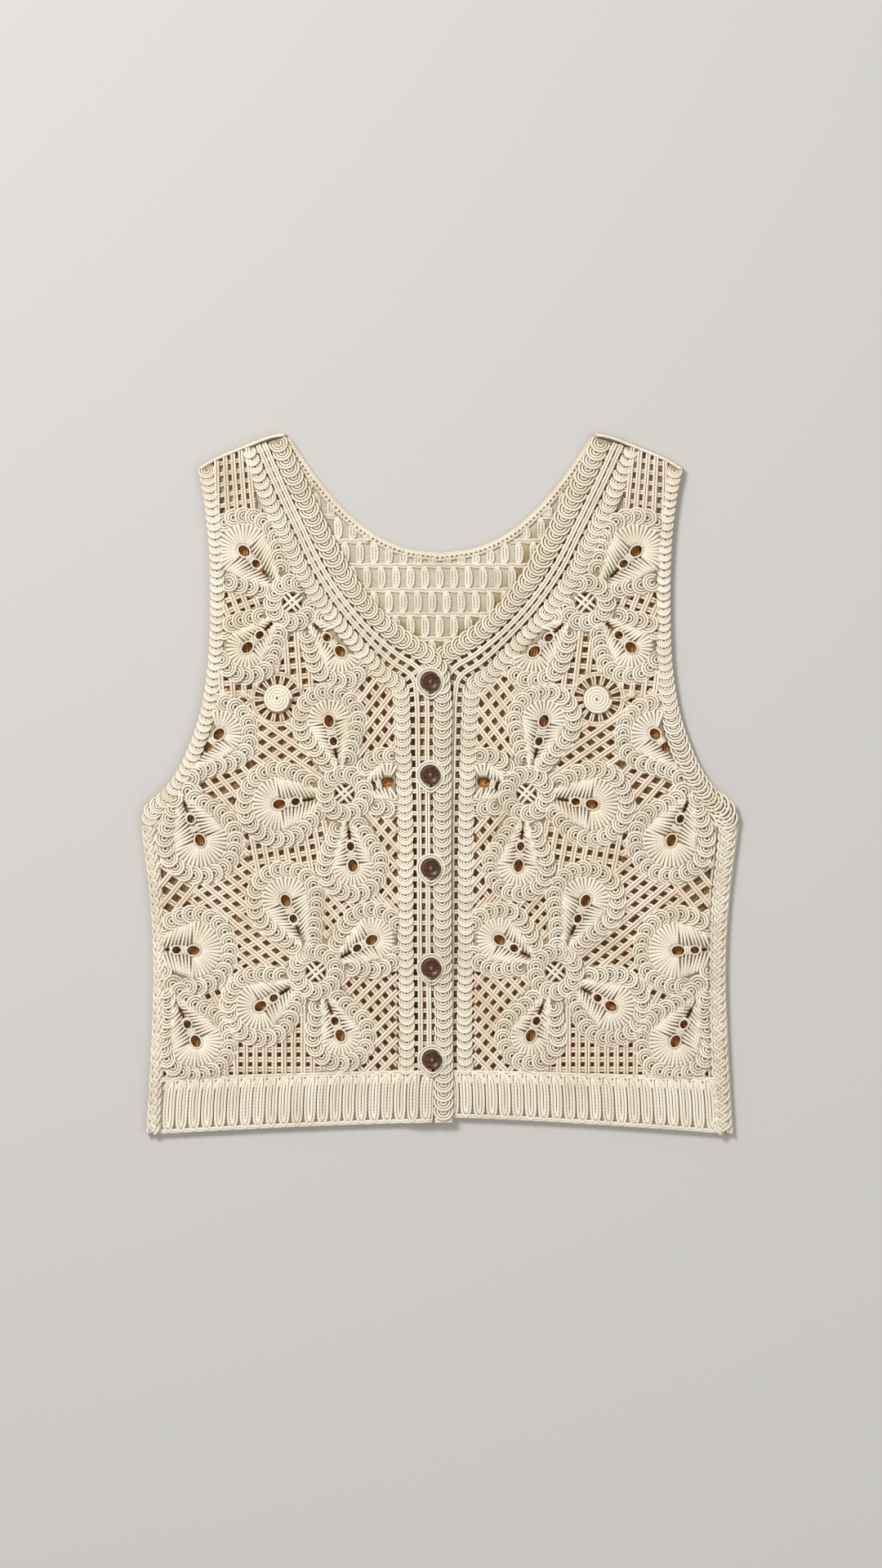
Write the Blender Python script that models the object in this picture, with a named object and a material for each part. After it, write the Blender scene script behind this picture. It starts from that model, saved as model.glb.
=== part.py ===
"""A sleeveless V-neck vest in crocheted tape lace, buttoned and laid flat.

Everything is worked out in millimetres in the plan of the garment: x runs across from the middle of the
garment, y runs up from the level of the hem's lower corners, and z up from the surface that it lies on.
Left and right are as seen from above. The objects are built in metres, centred on the garment's box.
"""

import math
from dataclasses import dataclass

import bmesh
import bpy
import numpy as np
from mathutils.geometry import delaunay_2d_cdt

MM = 0.001
SEAM = 0.3  # clear gap between neighbouring pieces

# Plan
LENGTH = 542.4  # from the hem's corners to the neck end of the shoulders
CENTRE_FRONT = -3.5  # the line that the two fronts mirror about
UPPER_WIDENING = 0.047  # the right front's upper half spreads this much wider than the left one's
WIDENING_FROM, WIDENING_TO = 277.0, 403.0
HEM_HALF_WIDTH = 226.5
HEM_SWEEP = 1.4  # how the hem curves up from its corners to the middle
HEM_RISE = {"left": 9.4, "right": 13.2, "back": 14.0}
RIB_TOP_AT_SIDE, RIB_TOP_RISE = 44.0, 6.4
SHOULDER_SEAM_WIDTH = 2.4
NECK_BINDING_WIDTH = 6.0

# Thickness
BACK_WALL = 3.0
FRONT_UNDER = BACK_WALL + SEAM
NET_WALL = 2.6
TAPE_CREST = 3.8
TAPE_RIM = 2.2
LADDER_STRAND = 2.9
LADDER_GROOVE = 1.9
RIB_CREST, RIB_VALLEY = 3.6, 2.2
SEAM_TOP = 6.6
LAP_WALL = 2.6  # the right front where the left front lies on it
LAP_EDGE = 11.0
LAP_RISE_FROM, LAP_RISE_TO = -31.0, -18.5
RIB_PITCH = 10.1

# Petals: how high the tape and the filling stand over the net, by depth in from the petal's outline
PETAL_DEPTHS = (0.0, 3.0, 9.5, 14.0, 18.5, 30.0)
PETAL_RELIEF = (0.0, 2.2, 2.2, 0.9, 1.7, 0.8)
PETAL_CONTOURS = ((0.2, 14), (3.0, 12), (9.5, 11), (14.0, 9))
PETAL_ROOT_RADIUS = 9.0
RING_RADIUS = 22.5
RING_RADII = (0.0, 5.0, 8.5, 18.5, 22.5)
RING_RELIEF = (0.4, 0.6, 2.7, 2.7, 0.0)
EYE_LENGTH, EYE_WIDTH = 10.0, 7.6
SECOND_LENGTH, SECOND_WIDTH = 7.0, 6.0

# Buttons and rosettes
BUTTON_RADIUS, BUTTON_HEIGHT = 7.5, 4.0
BUTTON_HOLE_RADIUS, BUTTON_HOLE_REACH = 0.8, 1.9
BUTTONS = ((-7.6, 349.7), (-7.6, 277.8), (-7.2, 206.0), (-6.9, 129.2), (-6.3, 58.6))
ROSETTE = (-125.4, 336.4)
ROSETTE_RADIUS, ROSETTE_HEIGHT = 12.0, 3.2

CREAM = (0.82, 0.76, 0.62)
SHADED_CREAM = (0.66, 0.58, 0.44)
BROWN = (0.045, 0.014, 0.006)


@dataclass
class Section:
    """A row across a band: its outer point, its inner point, and the shares of the two tapes."""

    outer_x: float
    outer_y: float
    inner_x: float
    inner_y: float
    edge_tape: float = 0.35
    inner_tape: float = 0.30


# The left front's border, from the hem round the V to the shoulder
BORDER_FOOT = Section(10.7, 9.4, -36.2, 9.4)
BORDER = (
    Section(10.1, 49.6, -32.8, 49.6),
    Section(9.1, 151.2, -33.1, 151.2),
    Section(8.8, 245.7, -33.4, 245.7),
    Section(8.8, 296.1, -35.3, 296.1, 0.34),
    Section(8.2, 347.8, -37.2, 338.3, 0.33),
    Section(5.7, 362.9, -37.5, 341.5, 0.33),
    Section(-1.9, 373.0, -38.4, 343.4, 0.33),
    Section(-18.3, 384.9, -47.9, 349.7, 0.35),
    Section(-39.1, 400.1, -62.4, 366.7, 0.38, 0.31),
    Section(-59.9, 424.0, -90.7, 399.4, 0.40, 0.32),
    Section(-75.0, 449.2, -112.1, 429.0, 0.40, 0.34),
    Section(-89.5, 477.5, -126.6, 459.3, 0.40, 0.36),
    Section(-105.8, 511.6, -141.8, 495.8, 0.41, 0.33),
    Section(-119.3, 539.6, -153.5, 528.9, 0.42, 0.29),
)
# The left armhole tape, from the underarm to the shoulder
ARMHOLE = (
    Section(-230.9, 241.9, -218.6, 241.9),
    Section(-229.3, 252.0, -216.1, 245.7),
    Section(-216.1, 264.6, -206.6, 255.2),
    Section(-206.0, 276.6, -195.9, 270.3),
    Section(-193.4, 302.4, -182.1, 298.0),
    Section(-185.2, 327.6, -173.9, 323.8),
    Section(-180.8, 352.8, -169.5, 350.9),
    Section(-178.0, 396.9, -166.3, 396.9),
    Section(-178.3, 441.0, -166.6, 441.0),
    Section(-180.5, 472.5, -168.8, 474.4),
    Section(-184.0, 497.7, -172.0, 499.6),
    Section(-187.0, 512.4, -174.7, 519.8),
)
# The left side band, from the hem to the underarm
SIDE = (
    Section(-226.5, 0.0, -215.8, 0.4),
    Section(-223.9, 44.0, -213.9, 44.0),
    Section(-222.0, 80.0, -213.0, 80.0),
    Section(-220.8, 139.0, -212.6, 139.0),
    Section(-224.2, 189.0, -214.6, 189.0),
    Section(-229.0, 226.0, -218.0, 226.0),
    Section(-230.9, 241.6, -218.6, 241.6),
)
SHOULDER_LINE = (
    (-187.4, 515.2),
    (-175.8, 522.3),
    (-164.4, 527.3),
    (-147.4, 534.2),
    (-130.4, 540.5),
    (-118.6, 542.4),
)
BACK_NECK_HALF = (
    (-116.6, 539.4),
    (-106.0, 523.0),
    (-92.3, 504.0),
    (-76.0, 485.0),
    (-54.0, 466.0),
    (-28.0, 453.6),
    (0.0, 449.2),
)


@dataclass
class Petal:
    """A teardrop of tape: a wide end round its eye, and sides that run in to its root."""

    eye_x: float
    eye_y: float
    root_x: float
    root_y: float
    tip_radius: float
    second_hole: float  # how far the second hole lies from the eye, towards the root

    def axis(self):
        along = np.array([self.eye_x - self.root_x, self.eye_y - self.root_y])
        length = float(np.hypot(*along))
        return along / length, length

    def lean(self):
        """How far the sides turn in from parallel to the axis."""
        return math.asin((self.tip_radius - PETAL_ROOT_RADIUS) / self.axis()[1])

    def depth(self, points):
        """How far each point lies inside the outline, in millimetres, and under nothing outside."""
        along, length = self.axis()
        relative = points - np.array([self.root_x, self.root_y])
        forward = relative @ along
        across = np.abs(relative @ np.array([-along[1], along[0]]))
        lean = self.lean()
        on_side = across * math.sin(lean) + forward * math.cos(lean)
        from_root = PETAL_ROOT_RADIUS - np.hypot(across, forward)
        from_tip = self.tip_radius - np.hypot(across, forward - length)
        from_side = PETAL_ROOT_RADIUS - (across * math.cos(lean) - forward * math.sin(lean))
        return np.where(
            on_side < 0.0, from_root, np.where(on_side > length * math.cos(lean), from_tip, from_side)
        )

    def contour(self, inset, arc_steps):
        """The open line that runs this far inside the outline: up one side, round the tip and back."""
        along, length = self.axis()
        heading, lean = math.atan2(along[1], along[0]), self.lean()
        tip = self.tip_radius - inset
        root = PETAL_ROOT_RADIUS - inset
        reach = min(1.0, 0.9 * tip / (tip - root))
        half_turn = math.pi / 2 + lean
        arc = [
            (
                self.eye_x + tip * math.cos(heading + turn),
                self.eye_y + tip * math.sin(heading + turn),
            )
            for turn in np.linspace(-half_turn, half_turn, arc_steps)
        ]
        ends = []
        for side in (-half_turn, half_turn):
            out = (math.cos(heading + side), math.sin(heading + side))
            start = (self.eye_x + tip * out[0], self.eye_y + tip * out[1])
            stop = (self.root_x + root * out[0], self.root_y + root * out[1])
            ends.append([between(start, stop, reach * share) for share in (0.5, 1.0)])
        return ends[0][::-1] + arc + ends[1]

    def holes(self):
        """The eye and the second hole, as closed loops."""
        along, _ = self.axis()
        eye = oval((self.eye_x, self.eye_y), along, EYE_LENGTH, EYE_WIDTH, 8)
        middle = np.array([self.eye_x, self.eye_y]) - along * self.second_hole
        return [eye, oval(middle, along, SECOND_LENGTH, SECOND_WIDTH, 6)]


# The left front's petals: eye, root, radius of the tip, and the second hole's distance
PETALS = (
    Petal(-151.2, 450.5, -114.0, 410.8, 34.0, 13.5),
    Petal(-148.7, 376.1, -114.0, 410.8, 29.0, 13.5),
    Petal(-76.9, 373.0, -114.0, 410.8, 29.5, 15.0),
    Petal(-170.7, 309.3, -204.1, 271.5, 31.5, 13.5),
    Petal(-185.2, 227.4, -204.1, 271.5, 34.6, 18.0),
    Petal(-85.7, 319.4, -73.7, 263.3, 29.5, 16.0),
    Petal(-41.0, 272.2, -73.7, 263.3, 27.7, 11.5),
    Petal(-67.4, 207.9, -73.7, 263.3, 29.0, 15.0),
    Petal(-124.1, 255.2, -73.7, 263.3, 34.0, 12.8),
    Petal(-190.3, 142.4, -222.4, 143.6, 35.3, 13.0),
    Petal(-188.4, 72.5, -210.4, 116.6, 33.4, 14.6),
    Petal(-119.1, 180.8, -95.8, 126.0, 31.5, 15.0),
    Petal(-52.9, 150.6, -95.8, 126.0, 30.2, 12.8),
    Petal(-76.9, 76.9, -95.8, 126.0, 28.4, 12.0),
    Petal(-138.6, 99.5, -95.8, 126.0, 32.1, 12.0),
)
FLOWER_CENTRES = ((-114.0, 410.8), (-73.7, 263.3), (-95.8, 126.0))


@dataclass
class Net:
    """A field of net: where it lies, its two steps from gap to gap, and a gap's share of a step."""

    middle_x: float
    middle_y: float
    reach_x: float
    reach_y: float
    step_x: float
    step_y: float
    cross_x: float
    cross_y: float
    share: float = 0.6

    def gaps(self):
        """The gaps' corner loops, out from the field's middle."""
        step = np.array([self.step_x, self.step_y])
        cross = np.array([self.cross_x, self.cross_y])
        corners = ((-0.5, -0.5), (0.5, -0.5), (0.5, 0.5), (-0.5, 0.5))
        found = []
        for i in range(-9, 10):
            for j in range(-9, 10):
                offset = i * step + j * cross
                if abs(offset[0]) <= self.reach_x and abs(offset[1]) <= self.reach_y:
                    middle = np.array([self.middle_x, self.middle_y]) + offset
                    loop = [middle + self.share * (a * step + b * cross) for a, b in corners]
                    found.append([tuple(point) for point in loop])
        return found


# The nets whose gaps are over 4 mm wide, between the flowers
NETS = (
    Net(-117.2, 365.4, 1.0, 1.0, 7.6, 0.0, 0.0, 7.6, 0.7),
    Net(-108.2, 363.2, 1.0, 1.0, 7.6, 0.0, 0.0, 7.6, 0.7),
    Net(-113.4, 375.5, 1.0, 1.0, 8.0, 0.0, 0.0, 8.0, 0.62),
    Net(-105.2, 350.3, 1.0, 1.0, 8.0, 0.0, 0.0, 8.0, 0.7),
    Net(-166.9, 268.4, 16.0, 18.0, 8.8, 3.8, 7.0, -8.0, 0.55),
    Net(-108.4, 219.9, 1.0, 1.0, 8.4, 0.0, 0.0, 8.4, 0.68),
    Net(-188.4, 187.1, 1.0, 1.0, 20.0, 0.0, 0.0, 12.0, 0.66),
    Net(-171.4, 185.9, 26.0, 12.0, 7.6, 4.1, 7.2, -6.0, 0.58),
    Net(-148.7, 158.8, 20.0, 34.0, 7.6, 4.1, 7.2, -6.0, 0.58),
    Net(-129.8, 58.6, 26.0, 17.0, 7.4, 0.0, 0.0, 7.5, 0.6),
    Net(-206.0, 199.1, 14.0, 12.0, 8.6, -5.8, 6.0, 7.4, 0.55),
)


def between(a, b, share):
    return a[0] + (b[0] - a[0]) * share, a[1] + (b[1] - a[1]) * share


def oval(middle, along, length, width, count):
    """A closed loop round an oval whose length runs along the given direction."""
    across = np.array([-along[1], along[0]])
    loop = []
    for turn in np.arange(count) * 2 * math.pi / count:
        point = middle + along * (length / 2 * math.cos(turn)) + across * (width / 2 * math.sin(turn))
        loop.append(tuple(point))
    return loop


def ramp(value, start, stop):
    """0 up to start, 1 from stop on, and an even rise between."""
    return np.clip((value - start) / (stop - start), 0.0, 1.0)


def to_side(side, x, y):
    """A point of the left front's plan, or where it lies on the right front."""
    if side == "left":
        return x, y
    spread = 1.0 + UPPER_WIDENING * float(ramp(y, WIDENING_FROM, WIDENING_TO))
    return CENTRE_FRONT + (CENTRE_FRONT - x) * spread, y


def smooth(rows, parts):
    """Rows of numbers with more rows between them, on a smooth curve through the given ones."""
    rows = np.asarray(rows, float)
    steps = np.linalg.norm(np.diff(rows, axis=0), axis=1)[:, None]
    slopes = np.diff(rows, axis=0) / steps
    inner = (slopes[:-1] * steps[1:] + slopes[1:] * steps[:-1]) / (steps[:-1] + steps[1:])
    tangents = np.vstack([slopes[:1], inner, slopes[-1:]])
    result = []
    for i, step in enumerate(steps):
        for t in np.arange(parts) / parts:
            bend = t * t * (3 - 2 * t)
            leave, arrive = t * (1 - t) ** 2, t * t * (t - 1)
            point = rows[i] * (1 - bend) + rows[i + 1] * bend
            result.append(point + step * (tangents[i] * leave + tangents[i + 1] * arrive))
    result.append(rows[-1])
    return np.array(result)


def inset(loop, distance):
    """A closed loop, counterclockwise, moved in by this distance with mitred corners."""
    points = np.asarray(loop, float)
    before = points - np.roll(points, 1, axis=0)
    after = np.roll(points, -1, axis=0) - points
    before /= np.linalg.norm(before, axis=1)[:, None]
    after /= np.linalg.norm(after, axis=1)[:, None]
    normals_before = np.stack([-before[:, 1], before[:, 0]], axis=1)
    normals_after = np.stack([-after[:, 1], after[:, 0]], axis=1)
    mitre = normals_before + normals_after
    mitre /= (1 + (normals_before * normals_after).sum(axis=1))[:, None]
    return points + distance * mitre


def inside(loop, points):
    """Which of the points lie inside a closed loop."""
    loop, points = np.asarray(loop, float), np.asarray(points, float)
    x, y = points[:, 0], points[:, 1]
    found = np.zeros(len(points), bool)
    for (x1, y1), (x2, y2) in zip(loop, np.roll(loop, -1, axis=0)):
        if y1 != y2:
            crosses = (y1 > y) != (y2 > y)
            found ^= crosses & (x < (x2 - x1) * (y - y1) / (y2 - y1) + x1)
    return found


def rows_of(sections, parts):
    """The sections of a band as numbers, with more of them between."""
    table = [(s.outer_x, s.outer_y, s.inner_x, s.inner_y, s.edge_tape, s.inner_tape) for s in sections]
    return smooth(table, parts)


def shoulder_inner(x):
    """The height of the line, a seam in from the shoulder, where the panels end."""
    line = np.array(SHOULDER_LINE)
    return float(np.interp(-abs(x), line[:, 0], line[:, 1])) - 1.12 * (SHOULDER_SEAM_WIDTH + SEAM)


def hem_bottom(x, which):
    return HEM_RISE[which] * (1 - min(1.0, abs(x) / HEM_HALF_WIDTH) ** HEM_SWEEP)


def rib_top(x):
    return RIB_TOP_AT_SIDE + RIB_TOP_RISE * (1 - min(1.0, abs(x) / HEM_HALF_WIDTH) ** HEM_SWEEP)


def border_rows(side):
    """The border's rows on one side, ending on the shoulder."""
    rows = rows_of(BORDER, 2)
    for row in rows:
        row[0:2] = to_side(side, row[0], row[1])
        row[2:4] = to_side(side, row[2], row[3])
    for row in rows[-1:]:
        row[1], row[3] = shoulder_inner(row[0]), shoulder_inner(row[2])
    for row in rows[:1]:
        row[1], row[3] = rib_top(row[0]) + SEAM, rib_top(row[2]) + SEAM
    return rows


def armhole_rows(side):
    """The armhole tape's rows: the outline is the same on both sides, the inner edge follows the front."""
    rows = rows_of(ARMHOLE, 2)
    for row in rows:
        row[2:4] = to_side(side, row[2], row[3])
        if side == "right":
            row[0] = -row[0]
    for row in rows[-1:]:
        row[1], row[3] = shoulder_inner(row[0]), shoulder_inner(row[2])
    return rows


def side_rows(side):
    rows = rows_of(SIDE, 2)
    for row in rows:
        row[2:4] = to_side(side, row[2], row[3])
        if side == "right":
            row[0] = -row[0]
    return rows


def side_inner(side, y):
    """The side band's inner edge at this height."""
    rows = side_rows(side)
    return float(np.interp(y, rows[:, 3], rows[:, 2]))


def hem_columns(start_side, stop, count):
    """Columns across the hem: bottom and top x of each, fanned from the side band to the stop."""
    low, high = side_inner(start_side, 0.0), side_inner(start_side, RIB_TOP_AT_SIDE)
    toward = 1.0 if start_side == "left" else -1.0
    low, high = low + toward * SEAM * 1.2, high + toward * SEAM * 1.2
    return list(zip(np.linspace(low, stop[0], count), np.linspace(high, stop[1], count)))


def panel_loop(side):
    """A front panel's outline between the side band, the hem, the border, the shoulder and the armhole."""
    up_border = [tuple(row[2:4]) for row in border_rows(side)]
    down_armhole = [tuple(row[2:4]) for row in armhole_rows(side)][::-1]
    down_side = [tuple(row[2:4]) for row in side_rows(side) if row[3] > RIB_TOP_AT_SIDE + 2][::-1][1:]
    corner_x = side_rows(side)[2][2]
    start_x = up_border[0][0]
    along_hem = [(x, rib_top(x) + SEAM) for x in np.linspace(corner_x, start_x, 12)[:-1]]
    loop = along_hem + up_border + down_armhole + down_side
    if side == "right":
        loop = loop[::-1]
    return inset(loop, SEAM)


def lap_rise(x):
    """How far the left front is lifted where it laps over the right one."""
    return (LAP_WALL + SEAM) * float(ramp(x, LAP_RISE_FROM, LAP_RISE_TO))


def under_front(side, x):
    return FRONT_UNDER + (lap_rise(x) if side == "left" else 0.0)


def front_thickness(side, x, thickness, margin=0.0):
    """A front's thickness here: the right one is pressed thin under the lap, and a margin past it."""
    if side == "right" and x < LAP_EDGE + margin:
        return min(thickness, LAP_WALL)
    return thickness


def clear_work():
    for old in list(bpy.data.objects):
        bpy.data.objects.remove(old, do_unlink=True)


def new_collection(name):
    collection = bpy.data.collections.new(name)
    bpy.context.scene.collection.children.link(collection)
    return collection


def material(name, colour, roughness):
    made = bpy.data.materials.new(name)
    made.use_nodes = True
    shader = made.node_tree.nodes["Principled BSDF"]
    shader.inputs["Base Color"].default_value = (*colour, 1.0)
    shader.inputs["Roughness"].default_value = roughness
    shader.inputs["Metallic"].default_value = 0.0
    return made


def add_object(name, points, faces, collection, colour, roughness=0.9):
    """An object from points in the plan's millimetres, with its own material."""
    placed = (np.asarray(points, float) - (0.0, LENGTH / 2, 0.0)) * MM
    mesh = bpy.data.meshes.new(name)
    mesh.from_pydata(placed.tolist(), [], [list(map(int, face)) for face in faces])
    work = bmesh.new()
    work.from_mesh(mesh)
    bmesh.ops.recalc_face_normals(work, faces=work.faces)
    work.to_mesh(mesh)
    work.free()
    made = bpy.data.objects.new(name, mesh)
    made.data.materials.append(material(name + "_yarn", colour, roughness))
    collection.objects.link(made)
    return made


def band(name, rows, tops, unders, collection, colour=CREAM):
    """A strip of cloth: rows of plan points, with a top and an under height for each of them."""
    row_count, column_count = len(rows), len(rows[0])
    points = [(x, y, z) for row, heights in zip(rows, tops) for (x, y), z in zip(row, heights)]
    points += [(x, y, z) for row, heights in zip(rows, unders) for (x, y), z in zip(row, heights)]
    below = row_count * column_count
    faces = []
    for i in range(row_count - 1):
        for j in range(column_count - 1):
            a = i * column_count + j
            quad = (a, a + 1, a + column_count + 1, a + column_count)
            faces.append(quad)
            faces.append(tuple(below + k for k in quad[::-1]))
    last_row = (row_count - 1) * column_count
    rim = list(range(column_count))
    rim += [i * column_count + column_count - 1 for i in range(1, row_count)]
    rim += [last_row + j for j in range(column_count - 2, -1, -1)]
    rim += [i * column_count for i in range(row_count - 2, 0, -1)]
    for a, b in zip(rim, rim[1:] + rim[:1]):
        faces.append((b, a, below + a, below + b))
    return add_object(name, points, faces, collection, colour)


def triangulated(points, edges, loop, holes):
    """The triangles inside the loop and outside the holes, with every edge kept."""
    verts, _, faces, *_ = delaunay_2d_cdt([tuple(p) for p in points], edges, [], 0, 1e-5)
    verts = np.array([tuple(v) for v in verts])
    faces = np.array([face for face in faces if len(face) == 3])
    middles = verts[faces].mean(axis=1)
    keep = inside(loop, middles)
    for hole in holes:
        keep &= ~inside(hole, middles)
    return verts, faces[keep]


def relief_panel(name, loop, holes, creases, top_height, under, collection, colour=CREAM):
    """A wall with a plain underside, its holes cut through, and a top that is raised along its creases."""
    points, edges = [], []
    for closed_loop in [loop, *holes]:
        first, count = len(points), len(closed_loop)
        points += [tuple(point) for point in closed_loop]
        edges += [(first + i, first + (i + 1) % count) for i in range(count)]
    for crease in creases:
        first = len(points)
        points += [tuple(point) for point in crease]
        edges += [(first + i, first + i + 1) for i in range(len(crease) - 1)]
    verts, faces = triangulated(points, edges, loop, holes)
    sides = np.concatenate([faces[:, [0, 1]], faces[:, [1, 2]], faces[:, [2, 0]]])
    _, index, counts = np.unique(np.sort(sides, axis=1), axis=0, return_inverse=True, return_counts=True)
    rim = sides[counts[index.reshape(-1)] == 1]
    rim_verts = np.unique(rim)
    number = {int(v): i for i, v in enumerate(rim_verts)}
    low_edges = [(number[int(a)], number[int(b)]) for a, b in rim]
    low_verts, low_faces = triangulated(verts[rim_verts], low_edges, loop, holes)
    assert len(low_verts) == len(rim_verts), name + ": its edges cross"
    tops = top_height(verts)
    everything = [(x, y, z) for (x, y), z in zip(verts, tops)]
    everything += [(x, y, under) for x, y in low_verts]
    base = len(verts)
    all_faces = [tuple(face) for face in faces]
    all_faces += [(base + c, base + b, base + a) for a, b, c in low_faces]
    all_faces += [(b, a, base + number[int(a)], base + number[int(b)]) for a, b in rim]
    return add_object(name, everything, all_faces, collection, colour)


class FrontPanel:
    """One front's lace: flowers of raised tape in a net, with the flowers' eyes and the larger gaps cut."""

    def __init__(self, side):
        self.side = side
        self.loop = panel_loop(side)
        self.petals = [self.placed(petal) for petal in PETALS]
        self.centres = [to_side(side, *centre) for centre in FLOWER_CENTRES]
        self.rosette = np.array(to_side(side, *ROSETTE))

    def placed(self, petal):
        eye = to_side(self.side, petal.eye_x, petal.eye_y)
        root = to_side(self.side, petal.root_x, petal.root_y)
        return Petal(*eye, *root, petal.tip_radius, petal.second_hole)

    def within(self, points, margin):
        """Which points lie inside the panel, this far from its edge at least."""
        return inside(inset(self.loop, margin), points)

    def ring_distance(self, points):
        away = [np.hypot(*(points - np.array(centre)).T) for centre in self.centres]
        return np.min(away, axis=0)

    def relief(self, points):
        """How high the flowers stand over the net."""
        height = np.interp(self.ring_distance(points), RING_RADII, RING_RELIEF)
        for petal in self.petals:
            depth = petal.depth(points)
            height = np.maximum(height, np.interp(depth, PETAL_DEPTHS, PETAL_RELIEF))
        return height

    def petal_holes(self):
        holes = [hole for petal in self.petals for hole in petal.holes()]
        return [h for h in holes if self.within(np.array(h), 1.5).all()]

    def net_gaps(self, cut):
        """The nets' larger gaps, clear of the flowers, of the rosette and of each other."""
        kept = []
        for net in NETS:
            for gap in net.gaps():
                loop = np.array([to_side(self.side, x, y) for x, y in gap])
                middle = loop.mean(axis=0)
                points = np.vstack([loop, middle])
                clear = self.within(points, 2.0).all()
                clear &= all((petal.depth(points) < -0.8).all() for petal in self.petals)
                clear &= (self.ring_distance(points) > RING_RADIUS + 0.8).all()
                clear &= (np.hypot(*(points - self.rosette).T) > ROSETTE_RADIUS + 1.0).all()
                clear &= all(np.hypot(*(middle - other)) > 6.6 for other in kept)
                if clear:
                    kept.append(middle)
                    cut.append([tuple(point) for point in loop])
        return cut

    def creases(self, holes):
        """The lines that the tape's height turns along, broken where another form covers them."""
        rings = np.array([hole for hole in [np.mean(h, axis=0) for h in holes]])
        lines = []
        for i, petal in enumerate(self.petals):
            for depth, steps in PETAL_CONTOURS:
                points = np.array(petal.contour(depth, steps))
                keep = self.within(points, 1.4) & (self.ring_distance(points) > RING_RADIUS + 0.7)
                for j, other in enumerate(self.petals):
                    if j != i:
                        keep &= other.depth(points) < (0.0 if j > i else 0.8)
                near = np.hypot(*(points[:, None] - rings[None]).transpose(2, 0, 1)).min(axis=1)
                keep &= near > 6.2 if depth > 10 else near > 4.6
                lines += self.runs(points, keep)
        for centre in self.centres:
            for radius, count in ((22.5, 20), (18.5, 16), (8.5, 8), (5.0, 6)):
                turns = np.linspace(0.0, 2 * math.pi, count + 1)
                ring = np.stack([np.cos(turns), np.sin(turns)], axis=1) * radius + centre
                lines += self.runs(ring, self.within(ring, 1.4))
        return lines

    @staticmethod
    def runs(points, keep):
        """The stretches of a line whose points are kept, of two points or more."""
        found, run = [], []
        for point, kept in zip(points, keep):
            if kept:
                run.append(tuple(point))
            else:
                found.append(run)
                run = []
        found.append(run)
        return [run for run in found if len(run) > 1]

    def build(self, collection):
        holes = self.petal_holes()
        holes = self.net_gaps(holes)
        top = FRONT_UNDER + NET_WALL
        relief_panel(
            f"front_panel_{self.side}",
            self.loop,
            holes,
            self.creases(holes),
            lambda points: top + self.relief(points),
            FRONT_UNDER,
            collection,
        )
        return len(holes)


def front_band(name, side, rows, shares, thicknesses, collection):
    """A strip of a front between each row's outer and inner point, with its section by share across."""
    plan, tops, unders = [], [], []
    for row, across in zip(rows, shares):
        line = [between(row[0:2], row[2:4], share) for share in across]
        plan.append(line)
        unders.append([under_front(side, x) for x, _ in line])
        tops.append([
            under_front(side, x) + front_thickness(side, x, thick)
            for (x, _), thick in zip(line, thicknesses)
        ])
    return band(name, plan, tops, unders, collection)


def build_border(side, collection):
    """The edge tape, which runs on to the hem's bottom, and the ladder with its inner tape."""
    rows = border_rows(side)
    foot = rows_of((BORDER_FOOT, BORDER[0]), 1)[:1]
    for row in foot:
        row[0:2] = to_side(side, row[0], row[1])
        row[2:4] = to_side(side, row[2], row[3])
        row[1], row[3] = hem_bottom(row[0], side), hem_bottom(row[2], side)
    tape_rows = np.vstack([foot, rows])
    tape_shares = [np.array([0.0, 0.22, 0.78, 1.0]) * row[4] for row in tape_rows]
    tape = (TAPE_RIM, TAPE_CREST, TAPE_CREST, TAPE_RIM)
    front_band(f"edge_tape_{side}", side, tape_rows, tape_shares, tape, collection)
    shares = []
    for row in rows:
        seam = SEAM / math.dist(row[0:2], row[2:4])
        start, stop = row[4] + seam, 1.0 - row[5]
        ladder = start + (stop - start) * np.array([0.0, 0.3, 0.5, 0.72, 0.92])
        inner = stop + (1.0 - stop) * np.array([0.25, 0.8, 1.0])
        shares.append(np.concatenate([ladder, inner]))
    heights = (LADDER_GROOVE, LADDER_STRAND, LADDER_GROOVE, LADDER_STRAND, LADDER_GROOVE)
    heights += (TAPE_CREST, TAPE_CREST, TAPE_RIM)
    front_band(f"ladder_border_{side}", side, rows, shares, heights, collection)


def build_hem_rib(side, collection):
    """The hem's upright ribs, from the side band to the edge tape."""
    stop = to_side(side, -5.9 - SEAM, 0.0)[0]
    count = 2 * round(abs(stop - side_inner(side, 0.0)) / RIB_PITCH) + 1
    columns = hem_columns(side, (stop, stop), count)
    plan, tops, unders = [], [], []
    for share, crest in ((0.0, 0.75), (0.08, 1.0), (0.9, 1.0), (1.0, 0.35)):
        line, top, under = [], [], []
        for i, column in enumerate(columns):
            x = column[0] + (column[1] - column[0]) * share
            low, high = hem_bottom(x, side), rib_top(x)
            thick = RIB_VALLEY + (RIB_CREST - RIB_VALLEY) * crest * (i % 2)
            line.append((x, low + (high - low) * share))
            under.append(under_front(side, x))
            top.append(under_front(side, x) + front_thickness(side, x, thick, RIB_PITCH / 2))
        plan.append(line)
        tops.append(top)
        unders.append(under)
    band(f"hem_rib_{side}", plan, tops, unders, collection)


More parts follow.
